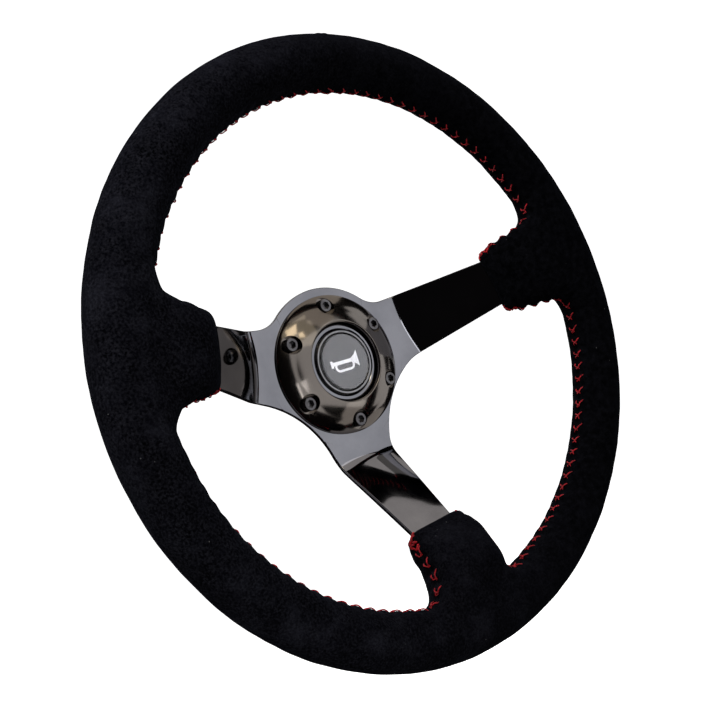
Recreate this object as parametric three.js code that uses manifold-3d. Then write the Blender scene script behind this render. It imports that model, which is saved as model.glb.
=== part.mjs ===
// A 350 mm deep-dish sports steering wheel: a bent three-arm plate, a foamed rim in a stitched suede
// cover, a bolted horn ring and a spring-returned horn button.
// The wheel is modelled lying flat, with x to the driver's right, y up the wheel and z towards the
// driver. The outer group then stands it upright, facing -Y, with the steering axis along Y.
// Millimetres. The origin is on the steering axis, in the back face of the hub plate.

import * as THREE from 'three';
import { mergeVertices } from 'three/addons/utils/BufferGeometryUtils.js';
import Module from 'manifold-3d';

const wasm = await Module();
wasm.setup();

const rad = THREE.MathUtils.degToRad;

// ---- driving dimensions, in millimetres and degrees ----

const GAP = 0.3; // left between pieces that touch in use
const RIM_DIAMETER = 350;
const GRIP_RADIUS = 15; // of the rim's round section, suede included
const DISH = 73.6; // from the hub plate's back face to the middle of the rim
const SUEDE = 1.6; // thickness of the cover
const PLATE = 3.2; // thickness of the spoke plate
const HUB_RADIUS = 49.9; // of the hub plate between the two upper spokes
const HUB_WAIST = 46; // nearest that the two lower edges of the hub plate come to the axis
const HUB_FILLET = 21; // where the hub's round edge runs into an upper spoke
const SPOKE_ANGLES = [11.5, 168.5, 270]; // right, left and bottom, counter-clockwise from the right
const ROOT_REACH = 60; // where the spokes' straight edges begin
const ROOT_HALF = 21.6; // a spoke's half width there
const COLLAR_REACH = 107; // where the suede collar ends on the spoke
const COLLAR_HALF = 16; // a spoke's half width there
const TIP_HALF = 13.6; // a spoke's half width inside the rim
const TIP_REACH = 163; // where a spoke ends, inside the rim
const SPOKE_RISE = 43; // slope of the spokes
const BEND_RADIUS = 20; // of the plate's middle at both bends
const LOWER_BEND = 59.7; // reach at which the spokes start to climb
const TIP_MIDDLE = 70.4; // height of the plate's middle inside the rim

const BOLT_COUNT = 6;
const BOLT_CIRCLE = 37; // radius; a 74 mm pitch circle
const BOLT_HOLE = 2.8;
const BOLT_LENGTH = 16; // below the head
const COUNTERBORE = 5.9;
const COUNTERBORE_FLOOR = 4.6;

const RING_RADIUS = 44.4; // horn ring, outside
const RING_CREASE = [34.7, 10.2]; // radius and height of the crease in its top
const RING_MOUTH = [24.9, 14]; // radius and height of the edge of its mouth
const PLATE_BORE = 26.6;

const CORE_INNER = 151.5; // the flat steel ring inside the rim
const CORE_OUTER = 168;
const CORE_THICKNESS = 4;
const RIVET_REACH = 157.5;
const RIVET_OFFSET = 8; // to each side of the spoke's middle
const RIVET_RADIUS = 2.4;
const RIVET_HEAD = [4.5, 1.8]; // radius and height

const BUTTON_TRAVEL = 2; // the horn button's full press
const SEAM_HALF_GAP = 0.8; // half the width of the slot between the cover's edges
const SEAM_CLEAR = 17; // degrees kept free of the rim's inner seam on each side of a spoke

const RIM_CENTRE = RIM_DIAMETER / 2 - GRIP_RADIUS;
const RIM_SEGMENTS = 60;
const GRIP_SEGMENTS = 10;
const ROUND_SEGMENTS = 32;

// ---- materials ----

function material(color, roughness, metalness) {
  return new THREE.MeshStandardMaterial({ color, roughness, metalness });
}

const blackChrome = material(0x2a2b2e, 0.08, 1);
const bronzeChrome = material(0x5a524c, 0.14, 1);
const blackSteel = material(0x141416, 0.35, 0.8);
const zincSteel = material(0x8d9093, 0.35, 0.9);
const brass = material(0xb08d4a, 0.3, 1);
const suede = material(0x0c0c0e, 1, 0);
const foam = material(0x1c1c1e, 0.9, 0);
const redThread = material(0xd01018, 0.7, 0);
const blackPlastic = material(0x0e0e10, 0.25, 0);
const brownPhenolic = material(0x4a2e1c, 0.5, 0);
const brightTrim = material(0x9a9ca0, 0.12, 1);
const emblemGrey = material(0x5b5b62, 0.3, 0);
const clearResin = material(0xe6ecf0, 0.05, 0);
clearResin.transparent = true;
clearResin.opacity = 0.3;

// ---- solids ----

// a closed solid whose faces point out, from any closed geometry
function solid(geometry) {
  const bare = geometry.clone();
  bare.deleteAttribute('normal');
  bare.deleteAttribute('uv');
  const merged = mergeVertices(bare, 1e-4);
  const position = merged.attributes.position;
  const corners = [];
  let volume = 0;
  const a = new THREE.Vector3();
  const b = new THREE.Vector3();
  const c = new THREE.Vector3();
  for (let i = 0; i < merged.index.count; i += 3) {
    const [p, q, r] = [0, 1, 2].map((k) => merged.index.getX(i + k));
    if (p === q || q === r || r === p) continue;
    corners.push(p, q, r);
    a.fromBufferAttribute(position, p);
    b.fromBufferAttribute(position, q);
    c.fromBufferAttribute(position, r);
    volume += a.dot(b.cross(c));
  }
  if (volume < 0) corners.reverse();
  const mesh = new wasm.Mesh({
    numProp: 3,
    vertProperties: new Float32Array(position.array),
    triVerts: new Uint32Array(corners),
  });
  return new wasm.Manifold(mesh);
}

function geometryOf(body) {
  const mesh = body.getMesh();
  const geometry = new THREE.BufferGeometry();
  geometry.setAttribute('position', new THREE.BufferAttribute(mesh.vertProperties, 3));
  geometry.setIndex(new THREE.BufferAttribute(mesh.triVerts, 1));
  geometry.computeVertexNormals();
  return geometry;
}

function joined(bodies) {
  return bodies.reduce((all, next) => all.add(next));
}

function cut(body, tools) {
  return tools.reduce((rest, tool) => rest.subtract(tool), body);
}

// a solid through rings of points, with flat ends
function loft(rings) {
  const count = rings[0].length;
  const points = rings.flat();
  const faces = [];
  for (let i = 0; i + 1 < rings.length; i += 1) {
    for (let j = 0; j < count; j += 1) {
      const here = i * count + j;
      const next = i * count + ((j + 1) % count);
      faces.push(here, next, next + count, here, next + count, here + count);
    }
  }
  const last = points.length - count;
  for (let j = 1; j + 1 < count; j += 1) {
    faces.push(0, j + 1, j, last, last + j, last + j + 1);
  }
  const geometry = new THREE.BufferGeometry().setFromPoints(points);
  geometry.setIndex(faces);
  return solid(geometry);
}

// a solid of revolution about z, from [radius, height] pairs; a profile off the axis closes on itself
function turned(profile, segments = ROUND_SEGMENTS) {
  const onAxis = profile[0][0] === 0;
  const outline = onAxis ? profile : [...profile, profile[0]];
  const points = outline.map(([r, z]) => new THREE.Vector2(r, z));
  return solid(new THREE.LatheGeometry(points, segments).rotateX(Math.PI / 2));
}

// an upright cylinder from one height to another
function rod(x, y, radius, low, high, segments = 16) {
  const geometry = new THREE.CylinderGeometry(radius, radius, high - low, segments);
  return solid(geometry.rotateX(Math.PI / 2).translate(x, y, (low + high) / 2));
}

function block(x, y, low, width, depth, high) {
  const geometry = new THREE.BoxGeometry(width, depth, high - low);
  return solid(geometry.translate(x, y, (low + high) / 2));
}

// a flat slab of the given shape from one height to another
function slab(shape, low, high, curveSegments = 8) {
  const settings = { depth: high - low, bevelEnabled: false, curveSegments };
  return solid(new THREE.ExtrudeGeometry(shape, settings).translate(0, 0, low));
}

function arcPoints(x, y, radius, from, to, steps) {
  return Array.from({ length: steps + 1 }, (_, i) => {
    const angle = from + ((to - from) * i) / steps;
    return new THREE.Vector2(x + radius * Math.cos(angle), y + radius * Math.sin(angle));
  });
}

// part of a flat ring, between two angles in degrees
function ringSector(inner, outer, from, to, low, high, steps) {
  const outside = arcPoints(0, 0, outer, rad(from), rad(to), steps);
  const inside = arcPoints(0, 0, inner, rad(to), rad(from), steps);
  return slab(new THREE.Shape([...outside, ...inside]), low, high);
}

function onSpoke(body, angle) {
  return body.rotate([0, 0, angle]);
}

// ---- spoke plate: its outline ----

// The straight edge of a spoke is half width = EDGE_START - EDGE_TAPER * reach.
const EDGE_TAPER = (ROOT_HALF - COLLAR_HALF) / (COLLAR_REACH - ROOT_REACH);
const EDGE_START = ROOT_HALF + EDGE_TAPER * ROOT_REACH;
const EDGE_TILT = Math.atan(EDGE_TAPER);
const EDGE_OFFSET = EDGE_START * Math.cos(EDGE_TILT);
const FLAT_REACH = 48; // the hub slab's cut across each spoke, short of the bend

// the round edge beside a spoke: an arc touching the spoke's edge, its centre in the spoke's own axes
function sideArc(centreDistance, radius) {
  const bearing = Math.asin((EDGE_OFFSET + radius) / centreDistance) - EDGE_TILT;
  return {
    radius,
    bearing,
    reach: centreDistance * Math.cos(bearing),
    side: centreDistance * Math.sin(bearing),
  };
}

const LOW_GAP = rad(SPOKE_ANGLES[2] - SPOKE_ANGLES[1]) / 2;
const LOW_SINE = Math.sin(LOW_GAP + EDGE_TILT);
const LOW_RADIUS = (HUB_WAIST * LOW_SINE - EDGE_OFFSET) / (1 - LOW_SINE);
const upperArc = sideArc(HUB_RADIUS + HUB_FILLET, HUB_FILLET);
const lowerArc = sideArc(HUB_WAIST + LOW_RADIUS, LOW_RADIUS);

function halfWidth(reach, arc) {
  const touch = arc.reach - arc.radius * Math.sin(EDGE_TILT);
  if (reach < touch) return arc.side - Math.sqrt(arc.radius ** 2 - (reach - arc.reach) ** 2);
  return Math.max(TIP_HALF, EDGE_START - EDGE_TAPER * reach);
}

// the arcs on each spoke's clockwise and counter-clockwise side
const SPOKES = [
  { name: 'right', angle: SPOKE_ANGLES[0], minus: lowerArc, plus: upperArc },
  { name: 'left', angle: SPOKE_ANGLES[1], minus: upperArc, plus: lowerArc },
  { name: 'bottom', angle: SPOKE_ANGLES[2], minus: lowerArc, plus: lowerArc },
];

// the hub's outline from one spoke's cut to the middle of the next gap, in the spoke's own axes
function gapEdge(arc, steps) {
  const from = Math.atan2(halfWidth(FLAT_REACH, arc) - arc.side, FLAT_REACH - arc.reach);
  const to = arc.bearing + Math.PI;
  return arcPoints(arc.reach, arc.side, arc.radius, from < 0 ? from + 2 * Math.PI : from, to, steps);
}

function turnPoint(point, degrees) {
  return point.clone().rotateAround(new THREE.Vector2(), rad(degrees));
}

function mirrored(points) {
  return points.map((p) => new THREE.Vector2(p.x, -p.y)).reverse();
}

function hubOutline() {
  const steps = 8;
  const outline = [];
  for (const { angle, minus, plus } of SPOKES) {
    const clockwise = mirrored(gapEdge(minus, steps));
    const counter = gapEdge(plus, steps);
    for (const point of [...clockwise, ...counter]) outline.push(turnPoint(point, angle));
    if (plus === upperArc) {
      const from = rad(angle) + upperArc.bearing;
      outline.push(...arcPoints(0, 0, HUB_RADIUS, from, Math.PI - from, 20).slice(1, -1));
    }
  }
  return outline.filter((p, i) => p.distanceTo(outline[(i + 1) % outline.length]) > 0.01);
}

// ---- spoke plate: its bends ----

// Points along the plate's middle from the hub to the tip, each with its slope in radians.
function spokePath(from) {
  const rise = rad(SPOKE_RISE);
  const tangent = BEND_RADIUS * Math.tan(rise / 2);
  const upperBend = LOWER_BEND + (TIP_MIDDLE - PLATE / 2) / Math.tan(rise);
  const path = [{ reach: from, height: PLATE / 2, slope: 0 }];
  const bends = [
    { reach: LOWER_BEND - tangent, height: PLATE / 2, start: 0, turn: rise },
    {
      reach: upperBend - tangent * Math.cos(rise),
      height: TIP_MIDDLE - tangent * Math.sin(rise),
      start: rise,
      turn: -rise,
    },
  ];
  const steps = 5;
  for (const bend of bends) {
    const sense = Math.sign(bend.turn);
    for (let i = 0; i <= steps; i += 1) {
      const slope = bend.start + (bend.turn * i) / steps;
      path.push({
        reach: bend.reach + sense * BEND_RADIUS * (Math.sin(slope) - Math.sin(bend.start)),
        height: bend.height - sense * BEND_RADIUS * (Math.cos(slope) - Math.cos(bend.start)),
        slope,
      });
    }
    if (bend.start === 0) path.push(collarPoint());
  }
  path.push({ reach: TIP_REACH, height: TIP_MIDDLE, slope: 0 });
  return path;
}

// the point of the plate's middle at the collar's reach
function collarPoint(reach = COLLAR_REACH) {
  const slope = rad(SPOKE_RISE);
  return { reach, height: PLATE / 2 + (reach - LOWER_BEND) * Math.tan(slope), slope };
}

// one arm of the plate, in the spoke's own axes; grow widens it all round to make a clearance
function spokeArm(spoke, grow = 0) {
  const half = PLATE / 2 + grow;
  const rings = spokePath(FLAT_REACH - 2).map(({ reach, height, slope }) => {
    const low = -halfWidth(reach, spoke.minus) - grow;
    const high = halfWidth(reach, spoke.plus) + grow;
    const corners = [[low, -half], [high, -half], [high, half], [low, half]];
    return corners.map(([side, up]) => {
      return new THREE.Vector3(reach - up * Math.sin(slope), side, height + up * Math.cos(slope));
    });
  });
  for (const corner of rings.at(-1)) corner.x += grow;
  return loft(rings);
}

function boltPlaces() {
  return Array.from({ length: BOLT_COUNT }, (_, i) => {
    const angle = rad(90 - (i * 360) / BOLT_COUNT);
    return [BOLT_CIRCLE * Math.cos(angle), BOLT_CIRCLE * Math.sin(angle)];
  });
}

function rivetPlaces() {
  return SPOKES.flatMap(({ angle }) =>
    [-RIVET_OFFSET, RIVET_OFFSET].map((side) => {
      const point = turnPoint(new THREE.Vector2(RIVET_REACH, side), angle);
      return [point.x, point.y];
    }),
  );
}

// an upright rod at every rivet
function rivetRods(radius, low, high) {
  return rivetPlaces().map(([x, y]) => rod(x, y, radius, low, high, 10));
}

function spokePlate() {
  const hub = slab(new THREE.Shape(hubOutline()), 0, PLATE);
  const arms = SPOKES.map((spoke) => onSpoke(spokeArm(spoke), spoke.angle));
  const bore = rod(0, 0, PLATE_BORE, -1, PLATE + 1, ROUND_SEGMENTS);
  const boltHoles = boltPlaces().map(([x, y]) => rod(x, y, BOLT_HOLE, -1, PLATE + 1));
  const rivetHoles = rivetRods(RIVET_RADIUS + GAP, TIP_MIDDLE - 4, TIP_MIDDLE + 4);
  return cut(joined([hub, ...arms]), [bore, ...boltHoles, ...rivetHoles]);
}

// ---- rim ----

const CORE_FLOOR = TIP_MIDDLE + PLATE / 2 + GAP;
const CORE_TOP = CORE_FLOOR + CORE_THICKNESS;

function flatRing(inner, outer, low, high) {
  return turned([[inner, low], [outer, low], [outer, high], [inner, high]], RIM_SEGMENTS);
}

function coreRing() {
  const holes = rivetRods(RIVET_RADIUS + GAP, CORE_FLOOR - 1, CORE_TOP + 1);
  return cut(flatRing(CORE_INNER, CORE_OUTER, CORE_FLOOR, CORE_TOP), holes);
}

function rivet() {
  const [head, height] = RIVET_HEAD;
  const under = TIP_MIDDLE - PLATE / 2 - GAP;
  const over = CORE_TOP + GAP;
  const shank = [[head, under], [RIVET_RADIUS, under], [RIVET_RADIUS, over], [head, over]];
  const lowHead = [[0, under - height], [head, under - height]];
  const highHead = [[head, over + height], [0, over + height]];
  return turned([...lowHead, ...shank, ...highHead], 10);
}

function grip(radius) {
  const torus = new THREE.TorusGeometry(RIM_CENTRE, radius, GRIP_SEGMENTS, RIM_SEGMENTS);
  return solid(torus.translate(0, 0, DISH));
}

// The padded lobe round each spoke, from the collar into the rim:
// reach, height of its middle, slope, half width and half thickness of its oval section.
const collar = collarPoint();
const LOBE = [
  [COLLAR_REACH, collar.height, SPOKE_RISE, 18.6, 4.8],
  [113, collarPoint(113).height, SPOKE_RISE, 20, 6.6],
  [121, collarPoint(121).height + 0.5, 41, 20.8, 8.8],
  [129, 65.8, 34, 22, 11],
  [137, 70.4, 22, 25, 12.4],
  [143.5, 72.6, 10, 30.5, 12.6],
  [150, 73.4, 3, 41, 11.4],
];
const LOBE_SIDES = 12;
const LOBE_SQUARENESS = 0.62; // exponent of the oval: 1 is an ellipse, less is squarer

// inset shrinks the lobe's section; start moves its collar end along the spoke
function lobe(inset, start = 0) {
  const rings = LOBE.map(([reach, height, slope, halfSide, halfDeep], i) => {
    const tilt = rad(slope);
    const shift = i === 0 ? start : 0;
    return Array.from({ length: LOBE_SIDES }, (_, j) => {
      const angle = (2 * Math.PI * (j + 0.5)) / LOBE_SIDES;
      const [c, s] = [Math.cos(angle), Math.sin(angle)];
      const side = Math.sign(c) * Math.abs(c) ** LOBE_SQUARENESS * (halfSide - inset);
      const up = Math.sign(s) * Math.abs(s) ** LOBE_SQUARENESS * (halfDeep - inset);
      const along = shift * Math.cos(tilt) - up * Math.sin(tilt);
      const rise = shift * Math.sin(tilt) + up * Math.cos(tilt);
      return new THREE.Vector3(reach + along, side, height + rise);
    });
  });
  return loft(rings);
}

function rimBody(inset, start = 0) {
  const lobes = SPOKES.map(({ angle }) => onSpoke(lobe(inset, start), angle));
  return joined([grip(GRIP_RADIUS - inset), ...lobes]);
}

function rimFoam() {
  const arms = SPOKES.map((spoke) => onSpoke(spokeArm(spoke, GAP), spoke.angle));
  const core = flatRing(CORE_INNER - GAP, CORE_OUTER + GAP, CORE_FLOOR - 2 * GAP, CORE_TOP + GAP);
  const [head, height] = RIVET_HEAD;
  const low = TIP_MIDDLE - PLATE / 2 - height - 2 * GAP;
  const high = CORE_TOP + height + 2 * GAP;
  const rivets = rivetRods(head + GAP, low, high);
  return cut(rimBody(SUEDE + GAP, 1.5), [joined([core, ...arms, ...rivets])]);
}

// the three open stretches of the rim's inner seam, in degrees: top, lower left and lower right
const SEAM_NAMES = ['top', 'lower_left', 'lower_right'];
const SEAMS = SPOKES.map(({ angle }, i) => {
  const next = SPOKES[(i + 1) % 3].angle + (i === 2 ? 360 : 0);
  return { name: SEAM_NAMES[i], from: angle + SEAM_CLEAR, to: next - SEAM_CLEAR };
});
const SEAM_STEPS = 20;

function suedeCover() {
  const inner = RIM_CENTRE - GRIP_RADIUS;
  const slots = SEAMS.map(({ from, to }) =>
    ringSector(inner - 2, inner + 4, from, to, DISH - SEAM_HALF_GAP, DISH + SEAM_HALF_GAP, SEAM_STEPS),
  );
  return cut(rimBody(0), [rimBody(SUEDE, -3), ...slots]);
}

// one half of the cover; side is 1 for the right half and -1 for the left
function coverHalf(cover, side) {
  const half = RIM_DIAMETER;
  const keep = block(side * (half / 2 + GAP / 2), 0, 0, half, 2 * half, 2 * half);
  return cover.intersect(keep);
}

function seamThread({ from, to }) {
  const inner = RIM_CENTRE - GRIP_RADIUS;
  const half = SEAM_HALF_GAP - GAP;
  const [low, high] = [DISH - half, DISH + half];
  return ringSector(inner - 0.3, inner + 1.3, from + 0.5, to - 0.5, low, high, SEAM_STEPS);
}

// the thick thread tied round one corner of a collar, in the spoke's own axes
function collarTie(side) {
  const { reach, height, slope } = collarPoint(COLLAR_REACH + 2);
  const bead = new THREE.SphereGeometry(1, 8, 5).scale(2.6, 0.9, 2.6);
  bead.rotateY(-slope);
  return solid(bead.translate(reach, side * (LOBE[0][3] + 0.9 + 2 * GAP), height));
}

// ---- horn ring and bolts ----

function hornRing() {
  const floor = PLATE + GAP;
  const [creaseRadius, creaseHeight] = RING_CREASE;
  const [mouthRadius, mouthHeight] = RING_MOUTH;
  const steps = 4;
  const dome = Array.from({ length: steps + 1 }, (_, i) => {
    const part = i / steps;
    const bulge = 0.5 * Math.sin(Math.PI * part);
    const radius = creaseRadius + (mouthRadius + 0.8 - creaseRadius) * part;
    return [radius, creaseHeight + (mouthHeight - creaseHeight) * part + bulge];
  });
  const wall = [[RING_RADIUS, floor], [RING_RADIUS, floor + 1.2], [RING_RADIUS - 0.9, floor + 2]];
  const profile = [[mouthRadius, floor], ...wall, ...dome, [mouthRadius, mouthHeight - 0.8]];
  const bores = boltPlaces().flatMap(([x, y]) => [
    rod(x, y, BOLT_HOLE, 0, mouthHeight),
    rod(x, y, COUNTERBORE, COUNTERBORE_FLOOR, 2 * mouthHeight, 20),
  ]);
  return cut(turned(profile, 48), bores);
}

// an M5 socket cap screw along z, its head resting just above the counterbore's floor
function hubBolt() {
  const seat = COUNTERBORE_FLOOR + GAP;
  const top = seat + 5;
  const end = seat - BOLT_LENGTH;
  const shank = [[0, end], [1.9, end], [2.5, end + 0.7], [2.5, seat]];
  const head = turned([...shank, [4.35, seat], [4.35, top - 0.5], [3.9, top], [0, top]], 16);
  const socket = rod(0, 0, 4 / Math.sqrt(3), top - 2.6, top + 1, 6);
  return head.subtract(socket);
}

// ---- horn button ----

const BEZEL_INNER = 20.8;
const BEZEL_TOP = 10.7;
const BUTTON_RADIUS = 24.5;
const HOUSING_TOP = 6.5;
const HOUSING_BASE = -10.8;
const CAP_FLOOR = 4.2; // underside of the cap's skirt at rest
const CAP_CEILING = 7.7; // underside of the cap's top
const CAP_STEP = 9.2; // ledge that carries the trim ring
const CAP_TOP = 10.8;
const TRIM_INNER = 18.3;
const TRIM_OUTER = 20.3;
const EMBLEM_RADIUS = 17.4;
const BASE_TOP = -7; // top of the contact base
const CONTACT_FACE = 5.8; // underside of the moving contact at rest
const SPRING_RADIUS = 14;
const SPRING_WIRE = 0.7;
const SPRING_TURNS = 4;
const TERMINALS = { live: 3.8, ground: -14 }; // x of each blade
const TERMINAL_END = -19;
const BLADE = [0.8, 6.3]; // thickness and width

function buttonBezel() {
  const low = HOUSING_TOP + GAP;
  const outside = [[BUTTON_RADIUS, low], [BUTTON_RADIUS, BEZEL_TOP - 1.2], [23.9, BEZEL_TOP - 0.4]];
  const inside = [[21.4, BEZEL_TOP - 0.4], [BEZEL_INNER, BEZEL_TOP - 1.2]];
  return turned([[BEZEL_INNER, low], ...outside, [22.65, BEZEL_TOP], ...inside]);
}

function buttonHousing() {
  const flange = [[BUTTON_RADIUS, 0.4], [26.2, 0.4], [26.2, PLATE], [BUTTON_RADIUS, PLATE]];
  const foot = [[18, HOUSING_BASE], [BUTTON_RADIUS, HOUSING_BASE]];
  const mouth = [[BUTTON_RADIUS, HOUSING_TOP], [22.3, HOUSING_TOP]];
  const lip = HOUSING_BASE + 1.5;
  return turned([...foot, ...flange, ...mouth, [22.3, lip], [18, lip]]);
}

function buttonCap() {
  const shoulder = HOUSING_TOP - GAP;
  const neck = BEZEL_INNER - 0.4;
  const skirt = [[17, CAP_CEILING], [17, CAP_FLOOR], [21.8, CAP_FLOOR], [21.8, shoulder]];
  const step = [[neck, shoulder], [neck, CAP_STEP], [TRIM_INNER - GAP, CAP_STEP]];
  return turned([[0, CAP_CEILING], ...skirt, ...step, [TRIM_INNER - GAP, CAP_TOP], [0, CAP_TOP]]);
}

function capTrimRing() {
  const low = CAP_STEP + GAP;
  const top = low + 2;
  const outside = [[TRIM_OUTER, low], [TRIM_OUTER, top - 0.5], [TRIM_OUTER - 0.5, top]];
  return turned([[TRIM_INNER, low], ...outside, [TRIM_INNER + 0.5, top], [TRIM_INNER, top - 0.5]]);
}

function emblemDisc() {
  const low = CAP_TOP + GAP;
  return turned([[0, low], [EMBLEM_RADIUS, low], [EMBLEM_RADIUS, low + 0.4], [0, low + 0.4]]);
}

function emblemLens() {
  const low = CAP_TOP + 2 * GAP + 0.4;
  const dome = [[EMBLEM_RADIUS, low + 0.3], [15.4, low + 0.75], [11, low + 1.15], [6, low + 1.4]];
  return turned([[0, low], [EMBLEM_RADIUS, low], ...dome, [0, low + 1.5]]);
}

function movingContact() {
  const top = CAP_CEILING - GAP;
  const stem = [[0, CONTACT_FACE], [2.5, CONTACT_FACE], [2.5, top - 0.8]];
  return turned([...stem, [8, top - 0.8], [8, top], [0, top]], 24);
}

function fixedContact() {
  const low = BASE_TOP + GAP;
  const tip = CONTACT_FACE - BUTTON_TRAVEL - GAP;
  const post = [[5.4, low], [5.4, low + 0.8], [2.5, low + 0.8], [2.5, tip - 1], [3.4, tip - 1]];
  return turned([[0, low], ...post, [3.4, tip], [0, tip]], 24);
}

function groundRing() {
  const low = BASE_TOP + GAP;
  return turned([[11.5, low], [16.5, low], [16.5, low + 0.8], [11.5, low + 0.8]], 24);
}

function contactBase() {
  const low = HOUSING_BASE + 1.5 + GAP;
  const disc = rod(0, 0, 21.8, low, BASE_TOP, ROUND_SEGMENTS);
  const [thick, wide] = BLADE;
  const slots = Object.values(TERMINALS).map((x) =>
    block(x, 0, low - 1, thick + 2 * GAP, wide + 2 * GAP, BASE_TOP + 1),
  );
  return cut(disc, slots);
}

function terminal(x) {
  const [thick, wide] = BLADE;
  const tip = new THREE.Shape([
    new THREE.Vector2(-wide / 2, BASE_TOP),
    new THREE.Vector2(-wide / 2, TERMINAL_END + 1),
    new THREE.Vector2(-wide / 2 + 1, TERMINAL_END),
    new THREE.Vector2(wide / 2 - 1, TERMINAL_END),
    new THREE.Vector2(wide / 2, TERMINAL_END + 1),
    new THREE.Vector2(wide / 2, BASE_TOP),
  ]);
  const blade = new THREE.ExtrudeGeometry(tip, { depth: thick, bevelEnabled: false });
  blade.rotateX(Math.PI / 2).rotateZ(Math.PI / 2);
  return solid(blade.translate(x - thick / 2, 0, 0));
}

class Helix extends THREE.Curve {
  getPoint(t, target = new THREE.Vector3()) {
    const angle = 2 * Math.PI * SPRING_TURNS * t;
    const low = BASE_TOP + 2 * GAP + 0.8 + SPRING_WIRE;
    const high = CAP_CEILING - GAP - SPRING_WIRE;
    return target.set(
      SPRING_RADIUS * Math.cos(angle),
      SPRING_RADIUS * Math.sin(angle),
      THREE.MathUtils.lerp(low, high, t),
    );
  }
}

function hornSpring() {
  const section = new THREE.Shape(arcPoints(0, 0, SPRING_WIRE, 0, 2 * Math.PI, 6).slice(0, -1));
  const settings = { steps: SPRING_TURNS * 12, extrudePath: new Helix(), curveSegments: 1 };
  return solid(new THREE.ExtrudeGeometry(section, settings));
}

// ---- the assembly ----

const wheel = new THREE.Group();
wheel.rotation.x = Math.PI / 2;

function add(name, body, finish, x = 0, y = 0) {
  const mesh = new THREE.Mesh(geometryOf(body), finish);
  mesh.name = name;
  mesh.position.set(x, y, 0);
  wheel.add(mesh);
}

add('spoke_plate', spokePlate(), blackChrome);
add('rim_core_ring', coreRing(), zincSteel);
rivetPlaces().forEach(([x, y], i) => add(`spoke_rivet_${i + 1}`, rivet(), zincSteel, x, y));
add('rim_foam', rimFoam(), foam);

const cover = suedeCover();
add('suede_cover_left', coverHalf(cover, -1), suede);
add('suede_cover_right', coverHalf(cover, 1), suede);
for (const seam of SEAMS) add(`seam_thread_${seam.name}`, seamThread(seam), redThread);
for (const { name, angle } of SPOKES) {
  add(`collar_tie_${name}_a`, onSpoke(collarTie(-1), angle), redThread);
  add(`collar_tie_${name}_b`, onSpoke(collarTie(1), angle), redThread);
}

add('horn_ring', hornRing(), bronzeChrome);
boltPlaces().forEach(([x, y], i) => add(`hub_bolt_${i + 1}`, hubBolt(), blackSteel, x, y));

add('button_housing', buttonHousing(), blackPlastic);
add('button_bezel', buttonBezel(), blackChrome);
add('button_cap', buttonCap(), blackPlastic);
add('cap_trim_ring', capTrimRing(), brightTrim);
add('emblem_disc', emblemDisc(), emblemGrey);
add('emblem_lens', emblemLens(), clearResin);
add('moving_contact', movingContact(), brass);
add('fixed_contact', fixedContact(), brass);
add('ground_ring', groundRing(), brass);
add('horn_spring', hornSpring(), zincSteel);
add('contact_base', contactBase(), brownPhenolic);
for (const [name, x] of Object.entries(TERMINALS)) add(`terminal_${name}`, terminal(x), brass);

export default wheel;
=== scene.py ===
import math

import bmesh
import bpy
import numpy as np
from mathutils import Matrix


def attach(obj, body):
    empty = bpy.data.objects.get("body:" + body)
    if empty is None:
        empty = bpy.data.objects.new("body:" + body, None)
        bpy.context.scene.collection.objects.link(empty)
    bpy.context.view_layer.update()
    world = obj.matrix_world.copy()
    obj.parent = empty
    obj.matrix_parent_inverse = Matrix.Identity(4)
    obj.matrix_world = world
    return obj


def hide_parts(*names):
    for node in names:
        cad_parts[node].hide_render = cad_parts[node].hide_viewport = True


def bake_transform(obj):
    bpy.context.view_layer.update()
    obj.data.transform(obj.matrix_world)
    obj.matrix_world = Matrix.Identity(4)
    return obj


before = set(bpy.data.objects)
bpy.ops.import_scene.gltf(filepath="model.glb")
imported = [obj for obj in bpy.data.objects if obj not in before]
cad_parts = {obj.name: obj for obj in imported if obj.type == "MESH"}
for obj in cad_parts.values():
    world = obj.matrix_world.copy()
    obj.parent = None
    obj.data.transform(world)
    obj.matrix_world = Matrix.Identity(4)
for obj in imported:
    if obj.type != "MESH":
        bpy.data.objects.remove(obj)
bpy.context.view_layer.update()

# Looks for a 350 mm deep-dish sports steering wheel: suede cover and red lacing over a foamed rim,
# a black chrome spoke plate, a bronze chrome horn ring with six cap screws, and a horn button.
# Shapes are worked out with the wheel lying flat, in millimetres: x to the driver's right, y up the
# wheel, z towards the driver. STAND turns them upright into the frame, in metres.

import openvdb
from mathutils import Matrix, Vector, noise
from mathutils.bvhtree import BVHTree
from mathutils.kdtree import KDTree

WHEEL = "wheel"
BUTTON = "horn_button"
MM = 0.001
STAND = Matrix(((MM, 0, 0, 0), (0, 0, -MM, 0), (0, MM, 0, 0), (0, 0, 0, 1)))

# ---- driving dimensions, in millimetres and degrees, as in the CAD source ----

GAP = 0.3
RIM_DIAMETER = 350
GRIP_RADIUS = 15
RIM_CENTRE = RIM_DIAMETER / 2 - GRIP_RADIUS
DISH = 73.6
SUEDE = 1.6
PLATE = 3.2
HUB_RADIUS = 49.9
HUB_WAIST = 46
HUB_FILLET = 21
SPOKES = {"right": 11.5, "left": 168.5, "bottom": 270}
ROOT_REACH = 60
ROOT_HALF = 21.6
COLLAR_REACH = 107
COLLAR_HALF = 16
TIP_HALF = 13.6
TIP_REACH = 163
SPOKE_RISE = math.radians(43)
BEND_RADIUS = 20
LOWER_BEND = 59.7
TIP_MIDDLE = 70.4
BOLT_COUNT = 6
BOLT_CIRCLE = 37
BOLT_HOLE = 2.8
COUNTERBORE = 5.9
COUNTERBORE_FLOOR = 4.6
BOLT_SEAT = COUNTERBORE_FLOOR + GAP
BOLT_LENGTH = 16
HEX_ACROSS_FLATS = 4
RING_RADIUS = 44.4
CREASE_RADIUS, CREASE_HEIGHT = 34.7, 10.2
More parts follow.
